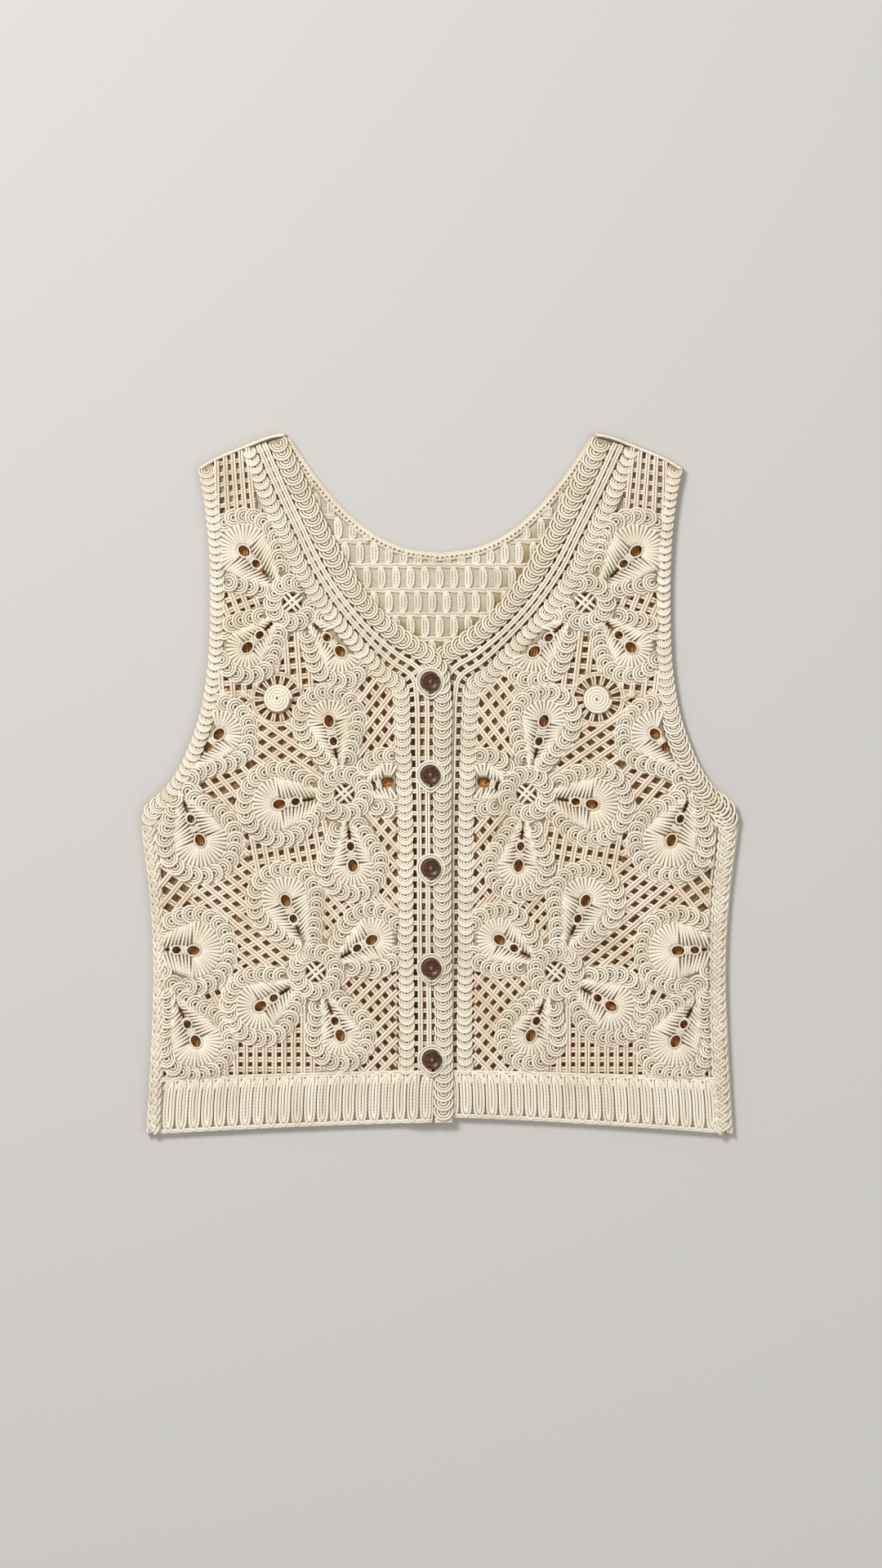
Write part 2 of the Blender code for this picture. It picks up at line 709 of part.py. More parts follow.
def build_armhole(side, collection):
    """The armhole tape on the front and, under it, on the back."""
    rows = armhole_rows(side)
    across = (0.0, 0.2, 0.78, 1.0)
    plan = [[between(row[0:2], row[2:4], share) for share in across] for row in rows]
    front_top = [[FRONT_UNDER + t for t in (TAPE_RIM, TAPE_CREST, TAPE_CREST, TAPE_RIM)]] * len(rows)
    front_under = [[FRONT_UNDER] * len(across)] * len(rows)
    band(f"armhole_tape_front_{side}", plan, front_top, front_under, collection)
    back_top = [[BACK_WALL] * 2] * len(rows)
    back_under = [[0.0] * 2] * len(rows)
    plan = [[tuple(row[0:2]), tuple(row[2:4])] for row in rows]
    band(f"armhole_tape_back_{side}", plan, back_top, back_under, collection, SHADED_CREAM)


def build_side_band(side, collection):
    """The band that joins front and back down the side, rounded over the fold."""
    rows = side_rows(side)
    across = (0.0, 0.25, 0.6, 1.0)
    plan = [[between(row[0:2], row[2:4], share) for share in across] for row in rows]
    tops = [[4.6, 6.4, FRONT_UNDER + TAPE_CREST, 5.9]] * len(rows)
    unders = [[2.0, 0.0, 0.0, 0.0]] * len(rows)
    band(f"side_band_{side}", plan, tops, unders, collection)


def build_shoulder_seam(side, collection):
    """The narrow raised seam that joins front and back along the shoulder."""
    line = smooth(SHOULDER_LINE, 2)
    plan, tops, unders = [], [], []
    for i, (x, y) in enumerate(line):
        run = line[min(i + 1, len(line) - 1)] - line[max(i - 1, 0)]
        run /= np.hypot(*run)
        low = (x + run[1] * SHOULDER_SEAM_WIDTH, y - run[0] * SHOULDER_SEAM_WIDTH)
        pair = [(x, y), between((x, y), low, 0.5), low]
        plan.append(pair if side == "left" else [(-px, py) for px, py in pair])
        tops.append([SEAM_TOP - 1.4, SEAM_TOP, SEAM_TOP - 0.4])
        unders.append([1.2, 0.0, 0.0])
    band(f"shoulder_seam_{side}", plan, tops, unders, collection)


def neck_binding_rows():
    """The back neck binding's rows, from one shoulder to the other."""
    half = smooth(BACK_NECK_HALF, 2)
    outer = np.vstack([half, [(-x, y) for x, y in half[-2::-1]]])
    rows = []
    for i, point in enumerate(outer):
        run = outer[min(i + 1, len(outer) - 1)] - outer[max(i - 1, 0)]
        run /= np.hypot(*run)
        inner = point + NECK_BINDING_WIDTH * np.array([run[1], -run[0]])
        rows.append((*point, *inner))
    for i, side in ((0, -1.0), (-1, 1.0)):
        x = rows[i][0]
        inner_x = x + side * 1.12 * NECK_BINDING_WIDTH
        rows[i] = (x, shoulder_inner(x), inner_x, shoulder_inner(inner_x))
    return np.array(rows)


def build_back(collection):
    """The back: its panel, its hem band and its neck binding, all lying on the surface."""
    binding = neck_binding_rows()
    plan = [[tuple(row[0:2]), tuple(row[2:4])] for row in binding]
    flat = [[0.0] * 2] * len(plan)
    band("back_neck_binding", plan, [[BACK_WALL] * 2] * len(plan), flat, collection)
    left_side, right_side = side_rows("left"), side_rows("right")
    corner_left, corner_right = left_side[2][2], right_side[2][2]
    along_hem = [(x, rib_top(x) + SEAM) for x in np.linspace(corner_left, corner_right, 20)]
    up_right = [tuple(row[2:4]) for row in right_side if row[3] > RIB_TOP_AT_SIDE + 2][:-1]
    up_right += [tuple(row[2:4]) for row in armhole_rows("right")]
    down_neck = [tuple(row[2:4]) for row in binding[::-1]]
    down_left = [tuple(row[2:4]) for row in armhole_rows("left")][::-1]
    down_left += [tuple(row[2:4]) for row in left_side if row[3] > RIB_TOP_AT_SIDE + 2][::-1][1:]
    loop = inset(along_hem + up_right + down_neck + down_left, SEAM)
    relief_panel(
        "back_panel",
        loop,
        [],
        [],
        lambda points: np.full(len(points), BACK_WALL),
        0.0,
        collection,
        SHADED_CREAM,
    )
    stop = [side_inner("right", y) - 1.2 * SEAM for y in (0.0, RIB_TOP_AT_SIDE)]
    columns = hem_columns("left", stop, 20)
    plan = [[(low, hem_bottom(low, "back")) for low, _ in columns]]
    plan.append([(high, rib_top(high)) for _, high in columns])
    tops = [[BACK_WALL] * len(columns)] * 2
    flat = [[0.0] * len(columns)] * 2
    band("back_hem_band", plan, tops, flat, collection, SHADED_CREAM)


def turned(name, profile, x, y, z, segments, collection, colour, roughness):
    """A solid turned round its own upright axis from a profile that starts and ends on the axis."""
    mesh = bpy.data.meshes.new(name)
    work = bmesh.new()
    points = [work.verts.new((radius * MM, 0.0, height * MM)) for radius, height in profile]
    for a, b in zip(points, points[1:]):
        work.edges.new((a, b))
    bmesh.ops.spin(
        work,
        geom=work.verts[:] + work.edges[:],
        cent=(0.0, 0.0, 0.0),
        axis=(0.0, 0.0, 1.0),
        angle=2 * math.pi,
        steps=segments,
        use_merge=True,
    )
    bmesh.ops.remove_doubles(work, verts=work.verts, dist=0.00001)
    bmesh.ops.recalc_face_normals(work, faces=work.faces)
    work.to_mesh(mesh)
    work.free()
    mesh.shade_smooth()
    made = bpy.data.objects.new(name, mesh)
    made.location = (x * MM, (y - LENGTH / 2) * MM, z * MM)
    made.data.materials.append(material(name + "_finish", colour, roughness))
    collection.objects.link(made)
    return made


def build_rosette(side, collection):
    """The spiral rosette, a low dome that lies on the net."""
    x, y = to_side(side, *ROSETTE)
    r, h = ROSETTE_RADIUS, ROSETTE_HEIGHT
    profile = ((0.0, 0.0), (0.9 * r, 0.0), (r, 0.35 * h), (0.86 * r, 0.8 * h), (0.3 * r, h), (0.0, h))
    z = FRONT_UNDER + NET_WALL + SEAM
    turned(f"rosette_{side}", profile, x, y, z, 20, collection, CREAM, 0.9)


def build_buttons(collection, cutters):
    """Round four-hole buttons with a raised rim, lying on the left front's edge tape."""
    r, h = BUTTON_RADIUS, BUTTON_HEIGHT
    profile = ((0.0, 0.0), (0.8 * r, 0.0), (r, 0.4 * h), (0.96 * r, 0.85 * h), (0.8 * r, h))
    profile += ((0.66 * r, 0.86 * h), (0.56 * r, 0.72 * h), (0.0, 0.72 * h))
    z = FRONT_UNDER + LAP_WALL + SEAM + TAPE_CREST + SEAM
    for number, (x, y) in enumerate(BUTTONS, start=1):
        button = turned(f"button_{number}", profile, x, y, z, 20, collection, BROWN, 0.35)
        for corner in range(4):
            turn = math.pi / 4 + corner * math.pi / 2
            mesh = bpy.data.meshes.new(f"button_{number}_hole_{corner + 1}")
            work = bmesh.new()
            bmesh.ops.create_cone(
                work,
                cap_ends=True,
                segments=6,
                radius1=BUTTON_HOLE_RADIUS * MM,
                radius2=BUTTON_HOLE_RADIUS * MM,
                depth=3 * h * MM,
            )
            work.to_mesh(mesh)
            work.free()
            cutter = bpy.data.objects.new(mesh.name, mesh)
            cutter.parent = button
            reach = BUTTON_HOLE_REACH * MM
            cutter.location = (reach * math.cos(turn), reach * math.sin(turn), h / 2 * MM)
            cutter.hide_render = True
            cutter.display_type = "WIRE"
            cutters.objects.link(cutter)
            cut = button.modifiers.new(f"thread_hole_{corner + 1}", "BOOLEAN")
            cut.operation = "DIFFERENCE"
            cut.solver = "EXACT"
            cut.object = cutter


def main():
    clear_work()
    vest = new_collection("crochet_vest")
    cutters = new_collection("cutters")
    build_back(vest)
    for side in ("left", "right"):
        build_side_band(side, vest)
        build_shoulder_seam(side, vest)
        build_armhole(side, vest)
        build_hem_rib(side, vest)
        build_border(side, vest)
        FrontPanel(side).build(vest)
        build_rosette(side, vest)
    build_buttons(vest, cutters)


if __name__ == "__main__":
    main()
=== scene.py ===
"""The looks of a sleeveless V-neck vest in crocheted tape lace, buttoned and laid flat.

Plan coordinates are millimetres: x runs across from the middle of the garment, y up from the level of the
hem's corners, and heights up from the surface that it lies on. Left and right are as seen from above.
"""

from __future__ import annotations

import logging
import math
from dataclasses import dataclass, field
from enum import Enum
from typing import Callable, Sequence

import bpy
import numpy as np
from mathutils.geometry import delaunay_2d_cdt
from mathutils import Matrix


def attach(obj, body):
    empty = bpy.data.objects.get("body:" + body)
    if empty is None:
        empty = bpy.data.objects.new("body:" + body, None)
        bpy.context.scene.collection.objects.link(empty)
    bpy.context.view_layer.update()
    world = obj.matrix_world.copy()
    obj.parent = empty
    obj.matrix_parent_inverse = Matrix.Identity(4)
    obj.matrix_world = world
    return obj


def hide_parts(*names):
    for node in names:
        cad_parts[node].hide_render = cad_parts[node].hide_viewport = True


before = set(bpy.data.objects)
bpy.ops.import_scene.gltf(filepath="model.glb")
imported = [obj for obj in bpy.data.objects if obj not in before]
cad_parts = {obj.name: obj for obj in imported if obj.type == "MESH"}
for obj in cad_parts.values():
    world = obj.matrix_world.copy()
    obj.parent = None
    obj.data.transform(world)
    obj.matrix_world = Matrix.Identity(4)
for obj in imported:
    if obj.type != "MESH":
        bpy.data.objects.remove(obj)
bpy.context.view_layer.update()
log = logging.getLogger("crochet_vest")

Array = np.ndarray
PointRule = Callable[[Array], Array]

MM = 0.001
LENGTH = 542.4  # from the hem's corners to the top of the shoulders
SEAM = 0.3  # between two solids
CENTRE_FRONT = -3.5  # the line that the right front mirrors the left one over
UPPER_WIDENING = 0.047  # the right front is this much wider in its upper part
WIDENING_FROM, WIDENING_TO = 277.0, 403.0
HEM_HALF_WIDTH = 226.5
HEM_SWEEP = 1.4
HEM_RISE = {"left": 9.4, "right": 13.2, "back": 14.0}
RIB_TOP_AT_SIDE, RIB_TOP_RISE = 44.0, 6.4
RIB_PITCH = 10.1
RIB_FOLD = -6.4  # where the left front's ribs end at its edge tape
FRONT_UNDER = 3.3  # height of a front's underside where nothing lies under it but the back
NET_WALL = 2.6
LAP_LIFT = 2.9
LAP_EDGE = 11.0
LAP_RISE_FROM, LAP_RISE_TO = -31.0, -18.5
LAP_PRESS = 0.62  # the right front's heights where the left front lies on it
YARN = 0.98  # radius of the worked yarn, a cotton of 8 stitches to 50 mm
TAPE_WIDTH = 14.0  # of the tape round a petal
FOOT_RISE = 5.8  # the edge tape's line starts this far above its own foot, which is level with the hem
TAPE_RADIUS = 0.88  # of the tapes' yarn
RING_RADIUS = 22.5  # of the ring round a flower's centre
RING_MIDDLE = 15.4  # radius of the middle of the shells round a flower's centre
NET_REACH = 62.0  # how far a net's strands are followed from its middle
ROSETTE_RING = 18.6  # radius of the ring that the rosette sits in
NECK_BINDING_WIDTH = 6.0
SEAM_DEPTH = 3.0  # how far below the shoulder line the panels and tapes end


class Side(Enum):
    """Which front, as seen from above."""

    LEFT = "left"
    RIGHT = "right"


# The plan


@dataclass(frozen=True)
class Section:
    """A row across a band: its outer point, its inner point, and the shares of the two tapes."""

    outer_x: float
    outer_y: float
    inner_x: float
    inner_y: float
    edge_tape: float = 0.35
    inner_tape: float = 0.30


BORDER = (
    Section(10.7, 9.4, -36.2, 9.4),
    Section(10.1, 49.6, -32.8, 49.6),
    Section(9.1, 151.2, -33.1, 151.2),
    Section(8.8, 245.7, -33.4, 245.7),
    Section(8.8, 296.1, -35.3, 296.1, 0.34),
    Section(8.2, 347.8, -37.2, 338.3, 0.33),
    Section(5.7, 362.9, -37.5, 341.5, 0.33),
    Section(-1.9, 373.0, -38.4, 343.4, 0.33),
    Section(-18.3, 384.9, -47.9, 349.7, 0.35),
    Section(-39.1, 400.1, -62.4, 366.7, 0.38, 0.31),
    Section(-59.9, 424.0, -90.7, 399.4, 0.40, 0.32),
    Section(-75.0, 449.2, -112.1, 429.0, 0.40, 0.34),
    Section(-89.5, 477.5, -126.6, 459.3, 0.40, 0.36),
    Section(-105.8, 511.6, -141.8, 495.8, 0.41, 0.33),
    Section(-119.3, 539.6, -153.5, 528.9, 0.42, 0.29),
)
ARMHOLE = (
    Section(-230.9, 241.9, -218.6, 241.9),
    Section(-229.3, 252.0, -216.1, 245.7),
    Section(-216.1, 264.6, -206.6, 255.2),
    Section(-206.0, 276.6, -195.9, 270.3),
    Section(-193.4, 302.4, -182.1, 298.0),
    Section(-185.2, 327.6, -173.9, 323.8),
    Section(-180.8, 352.8, -169.5, 350.9),
    Section(-178.0, 396.9, -166.3, 396.9),
    Section(-178.3, 441.0, -166.6, 441.0),
    Section(-180.5, 472.5, -168.8, 474.4),
    Section(-184.0, 497.7, -172.0, 499.6),
    Section(-187.0, 512.4, -174.7, 519.8),
)
SIDE_BAND = (
    Section(-226.5, 0.6, -215.8, 0.6),
    Section(-223.9, 44.0, -213.9, 44.0),
    Section(-222.0, 80.0, -213.0, 80.0),
    Section(-220.8, 139.0, -212.6, 139.0),
    Section(-224.2, 189.0, -214.6, 189.0),
    Section(-229.0, 226.0, -218.0, 226.0),
    Section(-230.9, 241.6, -218.6, 241.6),
)
SHOULDER_LINE = (
    (-187.4, 515.2),
    (-175.8, 522.3),
    (-164.4, 527.3),
    (-147.4, 534.2),
    (-130.4, 540.5),
    (-118.6, 542.4),
)
BACK_NECK_HALF = (
    (-116.6, 539.4),
    (-106.0, 523.0),
    (-92.3, 504.0),
    (-76.0, 485.0),
    (-54.0, 466.0),
    (-28.0, 453.6),
    (0.0, 449.2),
)


def ramp(value: Array | float, start: float, stop: float) -> Array:
    """0 up to start, 1 from stop on, and an even rise between."""
    return np.clip((np.asarray(value, float) - start) / (stop - start), 0.0, 1.0)


def smooth(rows: Sequence, parts: int) -> Array:
    """Adds rows between the given ones, on a smooth curve through them.

    Args:
        rows: rows of numbers.
        parts: how many steps replace each step.

    Returns:
        The longer table.
    """
    table = np.asarray(rows, float)
    steps = np.linalg.norm(np.diff(table, axis=0), axis=1)[:, None]
    slopes = np.diff(table, axis=0) / steps
    inner = (slopes[:-1] * steps[1:] + slopes[1:] * steps[:-1]) / (steps[:-1] + steps[1:])
    tangents = np.vstack([slopes[:1], inner, slopes[-1:]])
    result = []
    for i, step in enumerate(steps):
        for t in np.arange(parts) / parts:
            bend = t * t * (3 - 2 * t)
            point = table[i] * (1 - bend) + table[i + 1] * bend
            leave, arrive = t * (1 - t) ** 2, t * t * (t - 1)
            result.append(point + step * (tangents[i] * leave + tangents[i + 1] * arrive))
    result.append(table[-1])
    return np.array(result)


def band_rows(sections: Sequence[Section], parts: int = 4) -> Array:
    """The sections of a band as numbers, with more of them between."""
    table = [(s.outer_x, s.outer_y, s.inner_x, s.inner_y, s.edge_tape, s.inner_tape) for s in sections]
    return smooth(table, parts)


def along(points: Array, pitch: float, start: float = 0.5) -> tuple[Array, Array]:
    """Even stations along a line of points in plan.

    Args:
        points: the line, any number of columns, its first two in plan.
        pitch: distance between stations.
        start: where the first one lies, as a share of the pitch.

    Returns:
        The stations with all their columns, and the unit direction of the line at each.
    """
    steps = np.linalg.norm(np.diff(points[:, :2], axis=0), axis=1)
    distance = np.concatenate([[0.0], np.cumsum(steps)])
    count = max(2, int(round(distance[-1] / pitch)))
    places = (np.arange(count) + start) * distance[-1] / count
    found = np.stack([np.interp(places, distance, column) for column in points.T], axis=1)
    ahead = np.stack([np.interp(places + 0.6, distance, column) for column in points[:, :2].T], axis=1)
    behind = np.stack([np.interp(places - 0.6, distance, column) for column in points[:, :2].T], axis=1)
    run = ahead - behind
    return found, run / np.linalg.norm(run, axis=1)[:, None]


def across(rows: Array, share: Array | float) -> Array:
    """The points of a band at this share of the way from its outer to its inner line."""
    part = np.broadcast_to(np.asarray(share, float), (len(rows),))[:, None]
    return rows[:, 0:2] * (1 - part) + rows[:, 2:4] * part


def lifted(points: Array, height: Array | float) -> Array:
    """Plan points with a height added, one for all or one for each."""
    return np.concatenate([points, np.broadcast_to(height, points.shape[:-1])[..., None]], axis=-1)


def unit(turns: Array | float) -> Array:
    """The unit directions in plan at these turns, in radians."""
    return np.stack([np.cos(turns), np.sin(turns)], axis=-1)


def stretches(kept: Array) -> Array:
    """The start and the stop of each unbroken run of True."""
    return np.flatnonzero(np.diff(np.concatenate([[0], kept.astype(int), [0]]))).reshape(-1, 2)


def flat_area(plan: Array, faces: Array) -> float:
    """The area of triangles in plan, in square metres."""
    a, b, c = (plan[faces[:, i]] for i in range(3))
    return float(0.5 * np.abs(np.cross(b - a, c - a)).sum() * MM * MM)


def inside(loop: Array, points: Array) -> Array:
    """Which of the points lie inside a closed loop.

    Args:
        loop: (n, 2) corners.
        points: (..., 2) plan points.

    Returns:
        True for each point inside.
    """
    flat = points.reshape(-1, points.shape[-1])
    x, y = flat[:, 0], flat[:, 1]
    found = np.zeros(len(flat), bool)
    for (x1, y1), (x2, y2) in zip(loop, np.roll(loop, -1, axis=0)):
        if y1 != y2:
            found ^= ((y1 > y) != (y2 > y)) & (x < (x2 - x1) * (y - y1) / (y2 - y1) + x1)
    return found.reshape(points.shape[:-1])


def depth_in(loop: Array, points: Array) -> Array:
    """How far each point lies inside a closed loop, and under nothing outside.

    Args:
        loop: (n, 2) corners.
        points: (..., 2) or (..., 3) points, in millimetres.

    Returns:
        Millimetres for each point.
    """
    flat = points.reshape(-1, points.shape[-1])[:, :2]
    nearest = np.full(len(flat), 1e9)
    for a, b in zip(loop, np.roll(loop, -1, axis=0)):
        line = b - a
        share = np.clip(((flat - a) @ line) / max(float(line @ line), 1e-9), 0.0, 1.0)
        nearest = np.minimum(nearest, np.linalg.norm(flat - a - share[:, None] * line, axis=1))
    signed = np.where(inside(loop, flat), nearest, -nearest)
    return signed.reshape(points.shape[:-1])


def shoulder_at(x: Array | float, below: float = 0.0) -> Array:
    """The height of the shoulder line over x, or this far below it."""
    line = np.array(SHOULDER_LINE)
    return np.interp(-np.abs(x), line[:, 0], line[:, 1]) - 1.12 * below


def hem_bottom(x: Array | float, which: str) -> Array:
    """The height of the hem's lower edge."""
    return HEM_RISE[which] * (1 - np.minimum(1.0, np.abs(x) / HEM_HALF_WIDTH) ** HEM_SWEEP)


def rib_top(x: Array | float) -> Array:
    """The height of the line where the hem's ribs end."""
    return RIB_TOP_AT_SIDE + RIB_TOP_RISE * (1 - np.minimum(1.0, np.abs(x) / HEM_HALF_WIDTH) ** HEM_SWEEP)


def to_side(side: Side, points: Array) -> Array:
    """Points of the left front's plan, or where they lie on the right front.

    Args:
        side: the front.
        points: (..., 3) points of the left front.

    Returns:
        The points in the front's own place, at their own heights.
    """
    if side is Side.LEFT:
        return np.array(points, float)
    moved = np.array(points, float)
    spread = 1.0 + UPPER_WIDENING * ramp(moved[..., 1], WIDENING_FROM, WIDENING_TO)
    moved[..., 0] = CENTRE_FRONT + (CENTRE_FRONT - moved[..., 0]) * spread
    return moved


def at_height(side: Side, points: Array) -> Array:
    """Lifts points that are already in a front's place: the left one over the lap, the right one under it.

    Args:
        side: the front.
        points: (..., 3) points, with heights over the front's underside.

    Returns:
        The points with heights over the floor.
    """
    made = np.array(points, float)
    x = made[..., 0]
    if side is Side.LEFT:
        made[..., 2] += FRONT_UNDER + LAP_LIFT * ramp(x, LAP_RISE_FROM, LAP_RISE_TO)
    else:
        press = LAP_PRESS + (1 - LAP_PRESS) * ramp(x, LAP_EDGE - 1.0, LAP_EDGE + 2.0)
        made[..., 2] = FRONT_UNDER + made[..., 2] * press
    return made


def on_front(side: Side, points: Array) -> Array:
    """Lays left-front points, with heights over the front's underside, on one of the fronts."""
    return at_height(side, to_side(side, points))


def lap_shade(points: Array) -> Array:
    """How much painted shade the right front's yarn gets, brown only where the left front lies over it.

    Args:
        points: (..., 3) points of the right front.

    Returns:
        The shade of each, from 0 to 0.9.
    """
    edge = across(band_rows(BORDER), 0.0)
    over = np.interp(points[..., 1], edge[:, 1], edge[:, 0]) - points[..., 0]
    below_neck = 1.0 - ramp(points[..., 1], 362.0, 376.0)
    return 0.9 * ramp(over, 0.5, 3.0) * below_neck


def to_world(points: Array) -> Array:
    """Plan millimetres to the frame's metres."""
    return (points - np.array([0.0, LENGTH / 2, 0.0])) * MM


# Meshes


class YarnWork:
    """Yarns collected as tubes, and made into one mesh."""

    def __init__(self, name: str, seed: int, shade: PointRule | None = None) -> None:
        """Starts with no yarn.

        Args:
            name: the piece's name.
            seed: sets how each yarn's tone differs.
            shade: given plan points, 0 for open cream yarn to 1 for yarn painted in the brown shade under the
                lace.
        """
        self.name = name
        self.shade = shade
        self.random = np.random.default_rng(seed)
        self.points: list[Array] = []
        self.quads: list[Array] = []
        self.caps: list[Array] = []
        self.quad_uv: list[Array] = []
        self.cap_uv: list[Array] = []
        self.tones: list[Array] = []
        self.shades: list[Array] = []
        self.count = 0

    def lay(
        self,
        paths: Array,
        radius: float | Array = YARN,
        sides: int = 6,
        flat: float = 1.0,
        shade: float = 0.0,
    ) -> None:
        """Adds yarns that all have the same number of points.

        Args:
            paths: (yarn, point, 3) in plan millimetres.
            radius: one for all, or one for each point of a yarn.
            sides: how many sides the tube has.
            flat: its height as a share of its width.
            shade: one for all of it, where the piece's own rule doesn't give it.
        """
        paths = np.asarray(paths, float)
        if paths.ndim == 2:
            paths = paths[None]
        if not len(paths):
            return
        yarns, steps, _ = paths.shape
        tangent = np.gradient(paths, axis=1)
        tangent /= np.maximum(np.linalg.norm(tangent, axis=2, keepdims=True), 1e-9)
        beside = np.cross(tangent, np.array([0.0, 0.0, 1.0])) + np.array([1e-6, 0.0, 0.0])
        beside /= np.linalg.norm(beside, axis=2, keepdims=True)
        above = np.cross(beside, tangent)
        turns = math.pi / 2 + np.arange(sides) * 2 * math.pi / sides
        size = np.broadcast_to(np.asarray(radius, float), (yarns, steps))[:, :, None, None]
        ring = paths[:, :, None] + size * (
            np.cos(turns)[:, None] * beside[:, :, None] + flat * np.sin(turns)[:, None] * above[:, :, None]
        )
        grid = self.count + np.arange(yarns * steps * sides).reshape(yarns, steps, sides)
        turned = np.roll(grid, -1, axis=2)
        faces = np.stack([grid[:, :-1], grid[:, 1:], turned[:, 1:], turned[:, :-1]], axis=3)
        length = np.cumsum(np.linalg.norm(np.diff(paths, axis=1), axis=2), axis=1)
        length = np.concatenate([np.zeros((yarns, 1)), length], axis=1)
        length = length + self.random.uniform(0, 50, (yarns, 1))
        u0 = np.broadcast_to(length[:, :-1, None], (yarns, steps - 1, sides))
        u1 = np.broadcast_to(length[:, 1:, None], (yarns, steps - 1, sides))
        v0 = np.broadcast_to(np.arange(sides) / sides, u0.shape)
        v1 = v0 + 1 / sides
        uv = np.stack([np.stack([u, v], 3) for u, v in ((u0, v0), (u1, v0), (u1, v1), (u0, v1))], axis=3)
        self.points.append(ring.reshape(-1, 3))
        self.quads.append(faces.reshape(-1, 4))
        self.quad_uv.append(uv.reshape(-1, 2))
        for ends in (grid[:, 0], grid[:, -1, ::-1]):
            self.caps.append(ends)
            self.cap_uv.append(np.tile([0.0, 0.5], (ends.size, 1)))
        tone = self.random.normal(0.0, 1.0, (yarns, 1, 1))
        self.tones.append(np.broadcast_to(tone, grid.shape).ravel())
        shades = np.full((yarns, steps, 1), shade) if self.shade is None else self.shade(paths)[..., None]
        self.shades.append(np.broadcast_to(shades, grid.shape).ravel())
        self.count += grid.size

    def pair(self, paths: Array, radius: float = YARN, apart: float = 2.0, **more: float) -> None:
        """Adds two yarns side by side along each path.

        Args:
            paths: one path or several, of (x, y, z) points.
            radius: each yarn's radius.
            apart: millimetres between the two middles.
            **more: settings for lay.
        """
        paths = np.asarray(paths, float)
        if paths.ndim == 2:
            paths = paths[None]
        if not len(paths):
            return
        run = np.gradient(paths, axis=1)
        run[..., 2] = 0.0
        run /= np.maximum(np.linalg.norm(run, axis=2, keepdims=True), 1e-9)
        beside = np.stack([-run[..., 1], run[..., 0], np.zeros(run.shape[:2])], axis=2)
        for offset in (-apart / 2, apart / 2):
            self.lay(paths + offset * beside, radius, **more)

    def build(self, finish: bpy.types.Material) -> bpy.types.Object:
        """Makes the mesh, with its uv in millimetres along the yarn, and its tone and shade.

        Args:
            finish: the material.

        Returns:
            The piece.
        """
        points = to_world(np.concatenate(self.points))
        quads = np.concatenate(self.quads)
        mesh = bpy.data.meshes.new(self.name)
        loops = [quads.ravel()] + [cap.ravel() for cap in self.caps]
        totals = [np.full(len(quads), 4)] + [np.full(len(cap), cap.shape[1]) for cap in self.caps]
        corners = np.concatenate(loops)
        total = np.concatenate(totals)
        mesh.vertices.add(len(points))
        mesh.vertices.foreach_set("co", points.astype(np.float32).ravel())
        mesh.loops.add(len(corners))
        mesh.loops.foreach_set("vertex_index", corners.astype(np.int32))
        mesh.polygons.add(len(total))
        mesh.polygons.foreach_set("loop_start", (np.cumsum(total) - total).astype(np.int32))
        layer = mesh.uv_layers.new(name="yarn")
        layer.data.foreach_set("uv", np.concatenate(self.quad_uv + self.cap_uv).astype(np.float32).ravel())
        for label, values in (("tone", self.tones), ("shade", self.shades)):
            attribute = mesh.attributes.new(label, "FLOAT", "POINT")
            attribute.data.foreach_set("value", np.concatenate(values).astype(np.float32))
        mesh.update(calc_edges=True)
        mesh.shade_smooth()
        mesh.materials.append(finish)
        made = bpy.data.objects.new(self.name, mesh)
        bpy.context.scene.collection.objects.link(made)
        log.info("%s: %d faces", self.name, len(total))
        return made


def add_shell(
    name: str,
    points: Array,
    faces: Array,
    wall: float,
    finish: bpy.types.Material,
    shade: Array | float = 0.0,
) -> bpy.types.Object:
    """A thin closed shell from a surface of triangles.

    Args:
        name: the piece's name.
        points: (n, 3) the upper face's points, in plan millimetres.
        faces: (m, 3) triangles, counterclockwise from above.
        wall: thickness in millimetres.
        finish: the material.
        shade: for each point, 0 for open cream to 1 for the brown shade.

    Returns:
        The object.
    """
    edges = np.concatenate([faces[:, [0, 1]], faces[:, [1, 2]], faces[:, [2, 0]]])
    _, index, counts = np.unique(np.sort(edges, axis=1), axis=0, return_inverse=True, return_counts=True)
    rim = edges[counts[index.reshape(-1)] == 1]
    below = points - np.array([0.0, 0.0, wall])
    count = len(points)
    everything = np.vstack([points, below])
    whole = [*faces.tolist(), *(faces[:, ::-1] + count).tolist()]
    whole += [(int(b), int(a), int(a) + count, int(b) + count) for a, b in rim]
    mesh = bpy.data.meshes.new(name)
    mesh.from_pydata(to_world(everything).tolist(), [], whole)
    values = np.broadcast_to(np.asarray(shade, float), (count,))
    for label, data in (("tone", np.zeros(2 * count)), ("shade", np.concatenate([values, np.zeros(count)]))):
        attribute = mesh.attributes.new(label, "FLOAT", "POINT")
        attribute.data.foreach_set("value", data.astype(np.float32))
    mesh.shade_smooth()
    mesh.materials.append(finish)
    made = bpy.data.objects.new(name, mesh)
    bpy.context.scene.collection.objects.link(made)
    return made


def grid_faces(rows: int, columns: int, flip: bool = False) -> Array:
    """The triangles of a grid of points, rows by columns.

    Args:
        rows: how many rows.
        columns: how many points in a row.
        flip: turns the faces over.

    Returns:
        Three point numbers for each face.
    """
    index = np.arange(rows * columns).reshape(rows, columns)
    a, b = index[:-1, :-1].ravel(), index[:-1, 1:].ravel()
    c, d = index[1:, 1:].ravel(), index[1:, :-1].ravel()
    faces = np.concatenate([np.stack([a, b, c], 1), np.stack([a, c, d], 1)])
    return faces[:, ::-1] if flip else faces


